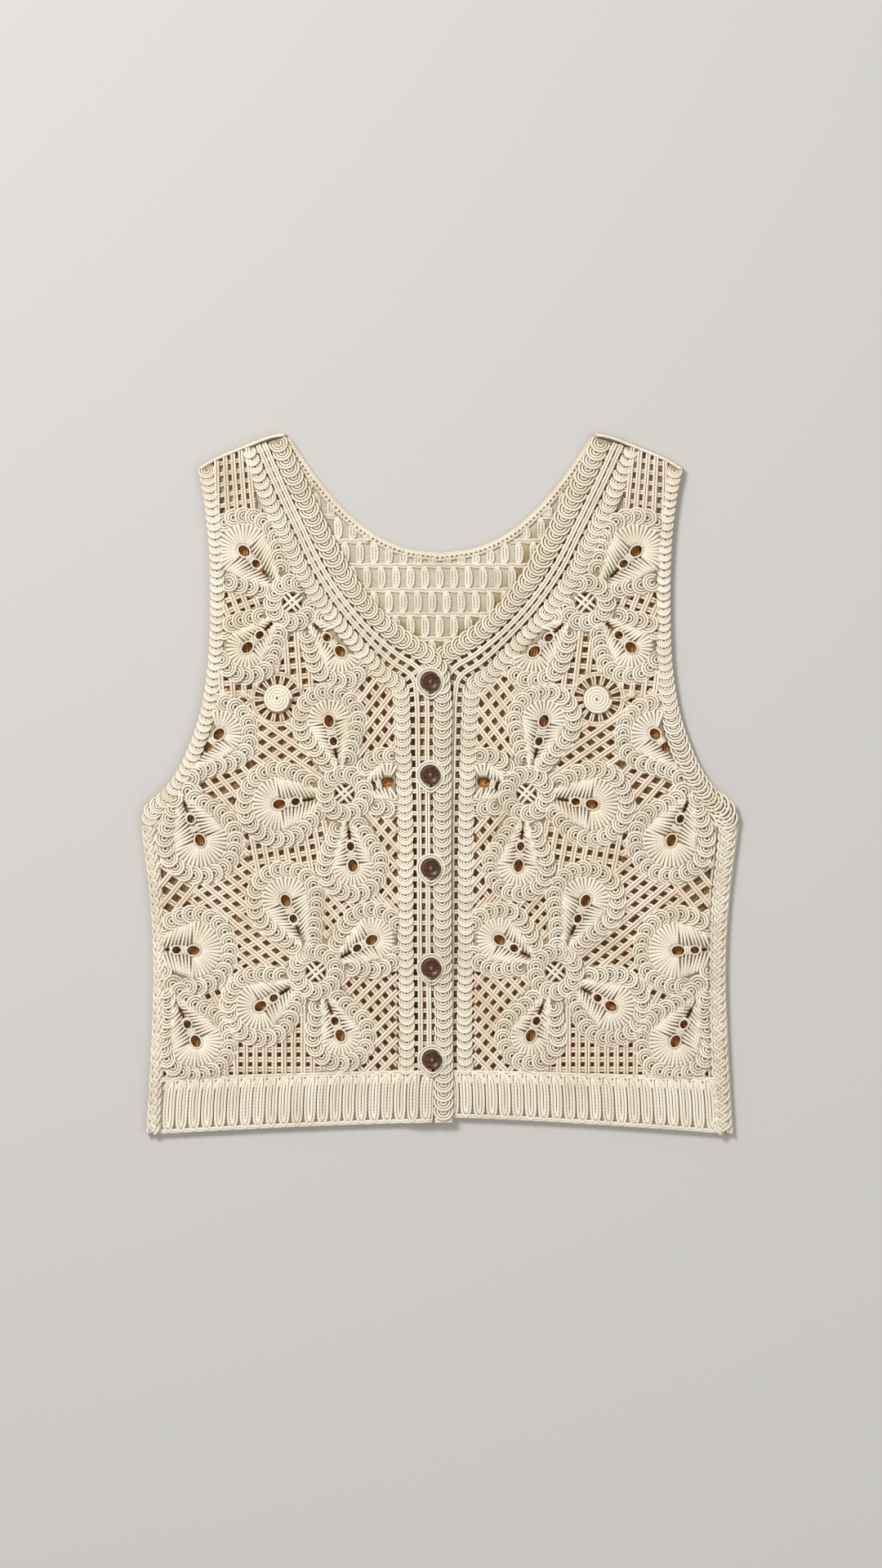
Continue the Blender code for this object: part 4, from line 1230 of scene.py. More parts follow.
@dataclass
class FrontLace:
    """One front's lace: flowers of scallop tape and long stitches, held in nets of doubled yarn."""

    side: Side
    finishes: Finishes
    tape: ScallopTape = field(
        default_factory=lambda: ScallopTape(
            pitch=7.9, crest=3.6, tilt=1.5, dome=1.2, reach=math.radians(150), stretch=1.0
        )
    )
    ground_wall: float = 0.8
    shoulder_from: float = 482.0

    def __post_init__(self) -> None:
        """Works out the panel's outline between its borders, in the left front's plan."""
        border, arm, edge = band_rows(BORDER[1:]), band_rows(ARMHOLE), band_rows(SIDE_BAND)
        up = across(border, 1.0)
        up[0] = (up[0][0], rib_top(up[0][0]))
        down_side = edge[edge[:, 3] > RIB_TOP_AT_SIDE + 1][::-1, 2:4]
        hem_x = np.linspace(edge[6][2], up[0][0], 14)[:-1]
        hem = np.stack([hem_x, rib_top(hem_x)], axis=1)
        self.loop = np.vstack([hem, up, arm[::-1, 2:4], down_side])
        self.rings = np.array(FLOWER_CENTRES)

    def place(self, paths: Array) -> Array:
        """Takes left-front paths to this front."""
        return on_front(self.side, paths)

    def ring_distance(self, points: Array) -> Array:
        """How far each point lies from the nearest flower's centre."""
        return np.min([np.hypot(*(points[..., :2] - c).T).T for c in self.rings], axis=0)

    def lower(self, paths: Array) -> Array:
        """Presses yarn down where it runs in under the borders.

        Args:
            paths: (..., 3) paths.

        Returns:
            The pressed paths.
        """
        made = paths.copy()
        depth = depth_in(self.loop, paths)
        made[..., 2] = np.minimum(made[..., 2], np.interp(depth, (-2.0, 1.5), (1.0, 9.0)))
        return made

    def crowded(self, number: int, points: Array, margin: float) -> Array:
        """Which points are better left to another flower's form than this petal's.

        Args:
            number: this petal's number.
            points: (..., 2) or (..., 3) points, in millimetres.
            margin: how deep a point may lie in a later petal.

        Returns:
            True for each point to leave out.
        """
        taken = self.ring_distance(points) < RING_RADIUS - 3.0
        for other, petal in enumerate(PETALS):
            if other != number:
                limit = margin if other > number else margin + 4.0
                taken |= petal.depth(points) > limit
        return taken

    def lay_petals(self, tapes: YarnWork, fills: YarnWork) -> None:
        """Works each petal's tape, long stitches, eye rim and bars.

        Args:
            tapes: takes the tapes.
            fills: takes the rest.
        """
        for number, petal in enumerate(PETALS):
            line = petal.tape_line()

            def keep(stations: Array, number: int = number) -> Array:
                """Leaves out shells that another petal covers."""
                return (depth_in(self.loop, stations) > -2.5) & ~self.crowded(number, stations, 3.5)

            lay_tape(tapes, self.tape, line, self.place, keep, self.lower)
            stitches = petal.stitches()
            middle = stitches[:, 3]
            good = (depth_in(self.loop, middle) > 0.0) & ~self.crowded(number, middle, 4.0)
            radius = np.linspace(0.72, 1.72, stitches.shape[1])
            chosen = self.lower(stitches[good])
            fills.lay(self.place(chosen), np.broadcast_to(radius, chosen.shape[:2]), sides=5)
            for index, loop in enumerate(petal.holes(grow=0.5)[:2]):
                ring = np.vstack([loop, loop[:2]])
                if (depth_in(self.loop, ring) > 2.0).all() and not self.crowded(number, ring, 9.0).any():
                    path = lifted(ring, 4.0 - 0.1 * index)
                    fills.lay(self.place(path), 0.7, sides=5)
            bars = petal.bars()
            good = (depth_in(self.loop, bars[:, 2]) > 1.0) & ~self.crowded(number, bars[:, 2], 9.0)
            fills.lay(self.place(bars[good]), 0.75, sides=5)

    def lay_rings(self, tapes: YarnWork) -> None:
        """Works the ring of shells round each flower's centre, and the little net in it.

        Args:
            tapes: takes the yarns.
        """
        for centre in self.rings:
            turns = np.linspace(0.0, 2 * math.pi, 41)
            plan = centre + RING_MIDDLE * unit(turns)
            line = lifted(plan, 7.2)  # the third number is the tape's half width

            def keep(stations: Array) -> Array:
                """Leaves out shells past the front's borders."""
                return depth_in(self.loop, stations) > -2.0

            ring = ScallopTape(pitch=7.3, crest=4.4, tilt=1.1, dome=1.3, reach=math.radians(150), stretch=1.0)
            lay_tape(tapes, ring, line, self.place, keep, self.lower)
            share = np.linspace(-1, 1, 6)
            for turn in (math.radians(40), math.radians(130)):
                run = unit(turn)
                for offset in (-1.85, 1.85):
                    path = centre + np.outer(share * 9.0, run) + offset * np.array([-run[1], run[0]])
                    height = 2.6 + 0.9 * (1 - share**2)
                    if (depth_in(self.loop, path) > 1.0).all():
                        tapes.lay(self.place(lifted(path, height)), 1.3)

    def net_keep(self, number: int, points: Array) -> Array:
        """Which points of a net's strands are worked: in its own field, and not deep under a flower.

        Args:
            number: the field's number.
            points: (n, 2) plan points.

        Returns:
            True for each point to work.
        """
        middles = np.array([field_.middle for field_ in NET_FIELDS])
        away = np.linalg.norm(points[:, None] - middles[None], axis=2)
        keep = away[:, number] < away.min(axis=1) + 4.5
        keep &= depth_in(self.loop, points) > -1.5
        keep &= self.ring_distance(points) > RING_RADIUS - 5.0
        keep &= np.hypot(*(points - np.array(ROSETTE)).T) > ROSETTE_RING
        keep &= points[:, 1] < self.shoulder_from
        for petal in PETALS:
            keep &= petal.depth(points) < 4.0
        return keep

    def lay_nets(self, net: YarnWork) -> None:
        """Works the nets: doubled strands in two directions, one lying over the other.

        Args:
            net: takes the yarns.
        """
        share = np.arange(-34, 34.1, 0.25)
        for number, one in enumerate(NET_FIELDS):
            step, cross = np.array(one.step), np.array(one.cross)
            for over, run, shift in ((1.25, step, cross), (2.35, cross, step)):
                for k in range(-9, 10):
                    line = np.array(one.middle) + (k + 0.5) * shift + share[:, None] * run
                    near = line[np.linalg.norm(line - np.array(one.middle), axis=1) < NET_REACH]
                    kept = self.net_keep(number, near)
                    for start, stop in stretches(kept):
                        if stop - start < 3:
                            continue
                        piece = near[start:stop]
                        count = max(3, int(np.linalg.norm(piece[-1] - piece[0]) / 3.0) + 2)
                        path = piece[0] + np.linspace(0, 1, count)[:, None] * (piece[-1] - piece[0])
                        height = over + 0.15 * np.sin(np.arange(count) * 1.3 + k)
                        net.pair(self.place(lifted(path, height)), 1.12, 2.3)

    def lay_rosette(self, tapes: YarnWork) -> None:
        """Works the spoked ring round the rosette's place.

        Args:
            tapes: takes the yarns.
        """
        centre = np.array(ROSETTE)
        turns = np.linspace(0, 2 * math.pi, 40)
        for radius, height in ((ROSETTE_RING, 2.2), (20.5, 2.0)):
            ring = centre + radius * unit(turns)
            tapes.lay(self.place(lifted(ring, height)), 0.95)
        for turn in np.linspace(0, 2 * math.pi, 15)[:-1]:
            for offset in (-0.07, 0.07):
                run = unit(turn + offset)
                path = centre + np.outer(np.linspace(8.0, 19.0, 4), run)
                tapes.lay(self.place(lifted(path, [1.2, 1.6, 2.0, 2.2])), 0.85, sides=5)

    def lay_shoulder(self, net: YarnWork) -> None:
        """Works the upright double strands and their cross bars below the shoulder.

        Args:
            net: takes the yarns.
        """
        lows = (-171.6, -163.4, -156.0, -149.6, -143.0)
        highs = (-172.5, -166.0, -160.2, -154.2, -148.6)
        for low_x, high_x in zip(lows, highs):
            high = float(shoulder_at(high_x, SEAM_DEPTH))
            path = np.linspace((low_x, 466.0), (high_x, high), 12)
            net.pair(self.place(lifted(path, 2.4)), 1.0, 2.1)
        for y in np.arange(484.0, 524.0, 8.2):
            path = np.linspace((-172.5, y + 1.0), (-142.0, y + 6.0), 8)
            keep = path[:, 1] < shoulder_at(path[:, 0], 4.0)
            if keep.sum() > 2:
                net.pair(self.place(lifted(path[keep], 1.2)), 0.9, 1.8)

    def ground(self) -> tuple[bpy.types.Object, float]:
        """The chain ground under the flowers, with every eye open.

        Returns:
            The piece, and its flat area in square metres.
        """
        outlines = [petal.outline(1.4) for petal in PETALS]
        turns = np.linspace(0, 2 * math.pi, 31)[:-1]
        circle = unit(turns)
        outlines += [centre + (RING_RADIUS - 1.2) * circle for centre in self.rings]
        gaps = [hole for petal in PETALS for hole in petal.holes(grow=0.5)]
        gaps += [centre + 7.4 * circle[::3] for centre in self.rings]

        def keep(points: Array) -> Array:
            """Keeps to the flowers, apart from their openings.

            Args:
                points: (n, 2) plan points.

            Returns:
                True for each point of the ground.
            """
            covered = np.zeros(len(points), bool)
            for loop in outlines:
                covered |= inside(loop, points)
            covered &= inside(self.loop, points)
            for number, petal in enumerate(PETALS):
                for hole in petal.holes(grow=0.5):
                    if not self.crowded(number, hole.mean(axis=0)[None], 9.0)[0]:
                        covered &= ~inside(hole, points)
            for centre in self.rings:
                covered &= np.hypot(*(points - centre).T) > 7.2
            return covered

        plan, faces = plan_mesh([self.loop, *outlines, *gaps], keep, 6.0)
        faces = facing_up(plan, faces)
        area = flat_area(plan, faces)
        height = np.full(len(plan), 2.3)
        for petal in PETALS:
            domed = np.interp(petal.depth(plan), (0, 4, 9, 14, 19), (1.6, 2.8, 2.8, 2.4, 2.7))
            height = np.maximum(height, domed)
        points = self.place(lifted(plan, height))
        faces = facing_up(points, faces)
        name = f"flower_ground_{self.side.value}"
        made = add_shell(name, points, faces, self.ground_wall, self.finishes.ground)
        return made, area

    def build(self) -> None:
        name = self.side.value
        seed = 11 if self.side is Side.LEFT else 12
        tapes, fills, net = (YarnWork(f"{kind}_{name}", seed + i) for i, kind in enumerate(
            ("flower_tape", "flower_stitches", "lace_net")))
        self.lay_petals(tapes, fills)
        self.lay_rings(tapes)
        self.lay_nets(net)
        self.lay_rosette(net)
        self.lay_shoulder(net)
        pieces = [tapes.build(self.finishes.yarn), fills.build(self.finishes.yarn)]
        pieces.append(net.build(self.finishes.net))
        base, area = self.ground()
        dress([base, *pieces])
        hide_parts(f"front_panel_{name}")
        log.info("front lace %s: ground %.4f m2", name, area)


@dataclass
class Rosette:
    """A round rosette: a spiral of yarn that climbs to its middle."""

    side: Side
    finishes: Finishes
    radius: float = 12.0
    turns: float = 4.2

    def build(self) -> None:
        """Makes the spiral over a low dome, and stands it for the plain solid."""
        name = self.side.value
        work = YarnWork(f"rosette_spiral_{name}", 31)
        x, y = to_side(self.side, np.array([*ROSETTE, 0.0]))[:2]
        base = FRONT_UNDER + NET_WALL + SEAM
        share = np.linspace(0, 1, 120)
        turn = share * self.turns * 2 * math.pi * (1 if self.side is Side.LEFT else -1)
        out = (self.radius - 1.4) * (1 - share) + 0.6 * share
        height = base + 1.1 + 1.3 * np.sqrt(share)
        path = np.column_stack([x + out * np.cos(turn), y + out * np.sin(turn), height])
        work.lay(path, 1.33, sides=8)
        spiral = work.build(self.finishes.yarn)
        rings, steps = 6, 24
        radii = np.linspace(0.05, self.radius - 0.8, rings)
        spin = np.linspace(0, 2 * math.pi, steps, endpoint=False)
        points = [
            (x + r * math.cos(t), y + r * math.sin(t), base + 1.1 - 0.6 * (r / self.radius) ** 2)
            for r in radii
            for t in spin
        ]
        index = np.arange(rings * steps).reshape(rings, steps)
        a, b = index[:-1], index[1:]
        c, d = np.roll(b, -1, axis=1), np.roll(a, -1, axis=1)
        faces = np.concatenate([
            np.stack([a.ravel(), b.ravel(), c.ravel()], 1), np.stack([a.ravel(), c.ravel(), d.ravel()], 1)
        ])
        grid = np.array(points)
        dome = add_shell(
            f"rosette_ground_{name}", grid, facing_up(grid, faces), 0.6, self.finishes.ground
        )
        dress((spiral, dome))
        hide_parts(f"rosette_{name}")


def dress(pieces: Sequence[bpy.types.Object]) -> None:
    """Rides pieces on the vest's one body.

    Args:
        pieces: the pieces.
    """
    for piece in pieces:
        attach(piece, "root")


def add_strip(
    name: str,
    lines: Sequence[Array],
    finish: bpy.types.Material,
    node: str,
    yarns: bpy.types.Object,
    side: Side | None = None,
    wall: float = 0.7,
) -> None:
    """Args:
        name: the piece's name.
        lines: (n, 3) points each, all equally long.
        finish: the material.
        node: the plain solid that it stands for.
        yarns: the yarns on it.
        side: the front it belongs to, or None where the points are already in place.
        wall: thickness in millimetres.
    """
    grid = np.stack(lines)
    points = grid.reshape(-1, 3) if side is None else on_front(side, grid.reshape(-1, 3))
    faces = facing_up(points, grid_faces(grid.shape[0], grid.shape[1]))
    shade = lap_shade(points) if side is Side.RIGHT else 0.0
    base = add_shell(name, points, faces, wall, finish, shade)
    dress((base, yarns))
    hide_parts(node)


@dataclass
class Border:
    """A front's border: the edge tape, a ladder of double strands with rungs, and the inner tape."""

    side: Side
    finishes: Finishes
    tape: ScallopTape = field(default_factory=lambda: ScallopTape(pitch=6.3, crest=2.7, tilt=0.8, dome=1.2))
    edge: ScallopTape = field(default_factory=lambda: ScallopTape(pitch=7.0, crest=2.7, tilt=1.0, dome=1.2))
    rung_pitch: float = 8.45
    strand_shares: tuple[float, float] = (0.25, 0.70)

    def __post_init__(self) -> None:
        """Works out the border's rows, from the hem to the shoulder."""
        self.rows = band_rows(BORDER, 6)
        for columns in ((0, 1), (2, 3)):
            top = shoulder_at(self.rows[-1, columns[0]], SEAM_DEPTH)
            self.rows[-1, columns[1]] = top
        self.rows[0, 1] = hem_bottom(self.rows[0, 0], self.side.value) + 0.6
        self.rows[0, 3] = hem_bottom(self.rows[0, 2], self.side.value) + 0.6
        upper = self.rows[self.rows[:, 1] > RIB_TOP_AT_SIDE + RIB_TOP_RISE - 1.5]
        self.upper = upper

    def tape_line(self, rows: Array, start: Array, stop: Array) -> Array:
        """The centre of a tape between two shares, with its half width.

        Args:
            rows: the border's rows.
            start: share of the width at the tape's outer edge.
            stop: share at its inner edge.

        Returns:
            x, y and half width for each row.
        """
        width = np.linalg.norm(rows[:, 0:2] - rows[:, 2:4], axis=1)
        middle = across(rows, (start + stop) / 2)
        half = width * (stop - start) / 2 - 0.2
        return np.column_stack([middle, half])

    def strand(self, work: YarnWork, share: Array, height: float) -> None:
        """Lays a pair of yarns up the whole border at a share of its width.

        Args:
            work: takes the yarns.
            share: share of the width at each row.
            height: of the yarns' middles.
        """
        line = across(self.upper, share)
        stations, _ = along(line, 5.0, 0.0)
        stations = np.vstack([stations, line[-1:]])
        work.pair(self.place(lifted(stations, height)), 1.0, 2.05)

    def place(self, paths: Array) -> Array:
        """Takes left-front paths to this front."""
        return on_front(self.side, paths)

    def build(self) -> None:
        """Makes the tapes, the ladder and their grounds."""
        name = self.side.value
        zero = np.zeros(len(self.rows))
        shade = lap_shade if self.side is Side.RIGHT else None
        edge = YarnWork(f"edge_tape_yarn_{name}", 41, shade)
        line = self.tape_line(self.rows, zero, self.rows[:, 4])
        line[0, 1] += FOOT_RISE  # the last shell's crest lies level with the hem
        lay_tape(edge, self.edge, line[::-1], self.place)
        foot = across(self.rows[:1].repeat(8, axis=0), np.linspace(0.03, self.rows[0, 4] - 0.03, 8))
        for rise, height in ((0.9, 1.5), (2.9, 1.2)):
            edge.lay(self.place(np.column_stack([foot + (0.0, rise), np.full(8, height)])), 1.15)
        beside = across(self.rows, self.rows[:, 4] + 0.016)
        y = np.linspace(self.rows[0, 1] + 0.8, RIB_TOP_AT_SIDE + RIB_TOP_RISE - 2.0, 8)
        beside = np.column_stack([np.interp(y, beside[:, 1], beside[:, 0]), y, np.full(8, 1.1)])
        edge.lay(self.place(beside), 1.15)
        ladder = YarnWork(f"ladder_yarn_{name}", 43, shade)
        upper = self.upper
        inner_from = 1.0 - upper[:, 5]
        lay_tape(ladder, self.tape, self.tape_line(upper, inner_from, np.ones(len(upper)))[::-1], self.place)
        for share in self.strand_shares:
            self.strand(ladder, upper[:, 4] + (inner_from - upper[:, 4]) * share, 2.2)
        rungs_at = np.column_stack([across(upper, 0.5), upper])
        stations, _ = along(rungs_at, self.rung_pitch)
        rows = stations[:, 2:]
        share = np.linspace(0, 1, 6)
        from_share, to_share = rows[:, 4] - 0.03, 1.03 - rows[:, 5]
        part = from_share[:, None] + (to_share - from_share)[:, None] * share
        plan = rows[:, None, 0:2] * (1 - part[..., None]) + rows[:, None, 2:4] * part[..., None]
        height = np.full(part.shape, 1.0)
        ladder.pair(self.place(lifted(plan, height)), 0.9, 1.8)
        edge_piece = edge.build(self.finishes.yarn)
        ladder_piece = ladder.build(self.finishes.yarn)
        edge_lines = self.ground_rows(self.rows, zero, self.rows[:, 4])
        inner_lines = self.ground_rows(upper, inner_from, np.ones(len(upper)))
        for label, lines, node, yarns in (
            ("edge_tape", edge_lines, "edge_tape", edge_piece),
            ("inner_tape", inner_lines, "ladder_border", ladder_piece),
        ):
            label, node = f"{label}_ground_{name}", f"{node}_{name}"
            add_strip(
                label, lines, self.finishes.ground, node, yarns, self.side
            )

    def ground_rows(self, rows: Array, start: Array, stop: Array) -> list[Array]:
        """The lines of the ground under a tape, a little in from its edges.

        Args:
            rows: the border's rows.
            start: share of the width at the tape's outer edge.
            stop: share at its inner edge.

        Returns:
            Four lines of points.
        """
        lines = []
        for share, height in ((0.07, 1.2), (0.3, 2.0), (0.7, 2.0), (0.93, 1.2)):
            plan = across(rows, start + (stop - start) * share)
            lines.append(lifted(plan, height))
        return lines


@dataclass
class HemRibs:
    """The hem of one front: upright ribs, each two nested loops of yarn, under a rolled top edge."""

    side: Side
    finishes: Finishes

    def build(self) -> None:
        """Makes the ribs and their ground."""
        name = self.side.value
        sign = -1.0 if self.side is Side.LEFT else 1.0
        stop = RIB_FOLD if self.side is Side.LEFT else float(to_side(self.side, np.array([RIB_FOLD, 0, 0]))[0])
        start = sign * 215.2
        low, high = (start, stop) if start < stop else (stop, start)
        if self.side is Side.RIGHT:
            low = LAP_EDGE - 16.0
        count = int(round((high - low) / RIB_PITCH))
        pitch = (high - low) / count
        work = YarnWork(f"hem_rib_yarn_{name}", 51)
        share = np.linspace(0, 1, 13)
        for i in range(count):
            x = low + (i + 0.5) * pitch
            fan = (x / HEM_HALF_WIDTH) * -2.0
            bottom, top = float(hem_bottom(x, name)), float(rib_top(x))
            for half, crest, inset in ((3.55, 2.3, 1.2), (1.25, 2.6, 4.2)):
                low_y, high_y = bottom + inset, top - inset + 0.4
                rise = low_y + (high_y - low_y) * (1 - np.cos(math.pi * share)) / 2
                wide = half * (1 - np.abs(np.cos(math.pi * share)) ** 7)
                right, left = np.column_stack([wide, rise]), np.column_stack([-wide, rise])[::-1]
                loop = np.vstack([right, left[1:-1], right[:2]])
                rel = (loop[:, 1] - bottom) / (top - bottom)
                sweep = fan * rel - sign * 3.8 * rel**6
                plan = np.column_stack([x + loop[:, 0] + sweep, loop[:, 1]])
                height = crest - 0.9 * np.abs(2 * rel - 1) ** 6
                path = at_height(self.side, lifted(plan, height))
                work.lay(path, 1.2)
            rise = np.linspace(0.0, 1.0, 7)
            arch_x = x + fan - sign * (-4.6 + 10.5 * rise**2.2)
            arch = np.column_stack([arch_x, top - 10.5 + 8.8 * np.sin(rise * math.pi / 2), 2.6 - 0.5 * rise])
            if low < arch_x.min() and arch_x.max() < high:
                work.lay(at_height(self.side, arch), 1.15)
        xs = np.linspace(low, high, 60)
        for drop, height in ((1.0, 2.4), (2.8, 2.0)):
            path = np.column_stack([xs, rib_top(xs) - drop, height + 0.35 * np.sin(np.arange(60) * 2.1)])
            work.lay(at_height(self.side, path), 1.1)
        edge = np.column_stack([xs, hem_bottom(xs, name) + 1.15, np.full(60, 1.2)])
        work.lay(at_height(self.side, edge), 1.15)
        edge[:, 1] += 1.5
        edge[:, 2] += 0.5
        work.lay(at_height(self.side, edge), 1.15)
        yarns = work.build(self.finishes.yarn)
        lines = []
        for part in (0.015, 0.3, 0.7, 0.985):
            y = hem_bottom(xs, name) * (1 - part) + rib_top(xs) * part
            lines.append(at_height(self.side, np.column_stack([xs, y, np.full(60, 1.1)])))
        add_strip(
            f"hem_ground_{name}",
            lines,
            self.finishes.back_ground,
            f"hem_rib_{name}",
            yarns,
            wall=0.8,
        )


def outer_rows(side: Side, sections: Sequence[Section]) -> Array:
    """The rows of an outer band on one side: its outline mirrored, its inner edge along the front.

    Args:
        side: the side.
        sections: the left band's sections.

    Returns:
        Four numbers for each row: the outer point, then the inner one.
    """
    rows = band_rows(sections, 4)
    rows[:, 2:4] = to_side(side, np.column_stack([rows[:, 2:4], np.zeros(len(rows))]))[:, :2]
    if side is Side.RIGHT:
        rows[:, 0] = -rows[:, 0]
    return rows


@dataclass
class ArmholeTape:
    """The scallop tape round an armhole, on the front, and the plain chain edge of the back under it."""

    side: Side
    finishes: Finishes

    def build(self) -> None:
        """Makes both layers."""
        name = self.side.value
        rows = outer_rows(self.side, ARMHOLE)
        rows[-1, 1] = shoulder_at(rows[-1, 0], SEAM_DEPTH)
        rows[-1, 3] = shoulder_at(rows[-1, 2], SEAM_DEPTH)
        width = np.linalg.norm(rows[:, 0:2] - rows[:, 2:4], axis=1)
        line = np.column_stack([across(rows, 0.5), width / 2 - 0.4])[::-1]
        work = YarnWork(f"armhole_yarn_{name}", 61)

        def lift(paths: Array) -> Array:
            """Raises the tape to the front."""
            return paths + np.array([0.0, 0.0, FRONT_UNDER])

        lay_tape(work, ScallopTape(pitch=6.0, crest=2.7, tilt=0.8, dome=1.2), line, lift)
        yarns = work.build(self.finishes.yarn)
        lines = []
        for share, height in ((0.07, 1.2), (0.3, 2.0), (0.7, 2.0), (0.95, 1.2)):
            lines.append(lifted(across(rows, share), FRONT_UNDER + height))
        label, node, under = f"armhole_ground_{name}", f"armhole_tape_front_{name}", f"armhole_tape_back_{name}"
        add_strip(label, lines, self.finishes.ground, node, yarns)
        work = YarnWork(f"armhole_back_yarn_{name}", 63)
        for share, height in ((0.12, 1.5), (0.37, 1.7), (0.62, 1.7), (0.87, 1.5)):
            path = lifted(across(rows, share), height)
            path[:, 2] += 0.25 * np.sin(np.arange(len(rows)) * 1.9)
            # painted shade: the back's edge under the armhole tape is laid a little towards brown
            work.lay(path, 1.15, shade=0.3)
        yarns = work.build(self.finishes.back)
        lines = [
            lifted(across(rows, share), 1.8) for share in (0.06, 0.5, 0.94)
        ]
        label = f"armhole_back_ground_{name}"
        add_strip(label, lines, self.finishes.ground, under, yarns)


@dataclass
class SideBand:
    """The plaited band that joins front and back down a side, rounded over the fold."""

    side: Side
    finishes: Finishes
    plait_pitch: float = 21.0

    def build(self) -> None:
        """Makes the plait over a rounded ground."""
        name = self.side.value
        rows = outer_rows(self.side, SIDE_BAND)
        rows[0, 1] = rows[0, 3] = 1.2
        stations, _ = along(np.column_stack([across(rows, 0.5), rows]), 1.6, 0.0)
        rows = stations[:, 2:]
        length = np.concatenate([[0], np.cumsum(np.hypot(*np.diff(across(rows, 0.5), axis=0).T))])
        work = YarnWork(f"side_plait_{name}", 71)
        for strand in range(3):
            phase = 2 * math.pi * (length / self.plait_pitch + strand / 3)
            share = 0.45 + 0.29 * np.sin(phase)
            arch = np.interp(share, (0.0, 0.25, 0.6, 1.0), (2.6, 5.0, 5.6, 4.4))
            height = arch + 0.55 * np.sin(2 * phase)
            path = lifted(across(rows, share), height)
            work.pair(path[None], 1.3, 2.5)
        for share, height in ((0.06, 3.4), (0.94, 4.4), (0.10, 1.5), (0.5, 1.2), (0.88, 1.2)):
            path = lifted(across(rows, share), height)
            work.lay(path, 1.1)
        yarns = work.build(self.finishes.back)
        lines = []
        for share, height in ((0.9, 1.2), (0.12, 1.0), (0.03, 2.6), (0.12, 4.0), (0.5, 4.7), (0.97, 4.0)):
            lines.append(lifted(across(rows, share), height))
        grid = np.stack(lines)
        points = grid.reshape(-1, 3)
        faces = grid_faces(grid.shape[0], grid.shape[1], flip=self.side is Side.LEFT)
        base = self.fold_shell(f"side_ground_{name}", points, faces)
        dress((base, yarns))
        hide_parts(f"side_band_{name}")

    def fold_shell(self, name: str, points: Array, faces: Array) -> bpy.types.Object:
        """A thin shell that goes round the fold, thickened evenly about its surface.

        Args:
            name: the piece's name.
            points: (n, 3) points.
            faces: three point numbers for each face.

        Returns:
            The piece.
        """
        mesh = bpy.data.meshes.new(name)
        mesh.from_pydata(to_world(points).tolist(), [], faces.tolist())
        for label in ("tone", "shade"):
            mesh.attributes.new(label, "FLOAT", "POINT")
        mesh.materials.append(self.finishes.ground)
        made = bpy.data.objects.new(name, mesh)
        bpy.context.scene.collection.objects.link(made)
        thick = made.modifiers.new("wall", "SOLIDIFY")
        thick.thickness = 0.6 * MM
        thick.offset = 0.0
        mesh.shade_smooth()
        return made


@dataclass
class ShoulderSeam:
    """The narrow raised seam along a shoulder: a row of short slant stitches over a cord."""

    side: Side
    finishes: Finishes
    width: float = 2.4

    def build(self) -> None:
        """Makes the seam."""
        name = self.side.value
        line, runs = along(smooth(SHOULDER_LINE, 6), 1.5, 0.0)
        sign = 1.0 if self.side is Side.LEFT else -1.0
        below = np.stack([runs[:, 1], -runs[:, 0]], axis=1)
        work = YarnWork(f"shoulder_seam_yarn_{name}", 81)

        def put(points: Array, height: Array | float) -> Array:
            """Mirrors points to this shoulder, and gives them a height."""
            return lifted(points, height) * np.array([sign, 1.0, 1.0])

        for inset, height in ((1.0, 1.6), (1.0, 3.2), (1.3, 4.7), (2.2, 1.4)):
            work.lay(put(line + below * inset, height), 1.0)
        for i in range(0, len(line) - 2):
            start, stop = line[i] + below[i] * 0.5, line[i + 2] + below[i + 2] * 2.9
            path = start + np.linspace(0, 1, 4)[:, None] * (stop - start)
            work.lay(put(path, np.array([4.6, 5.7, 5.8, 4.9])), 0.75, sides=5)
        yarns = work.build(self.finishes.yarn)
        dress([yarns])
        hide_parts(f"shoulder_seam_{name}")


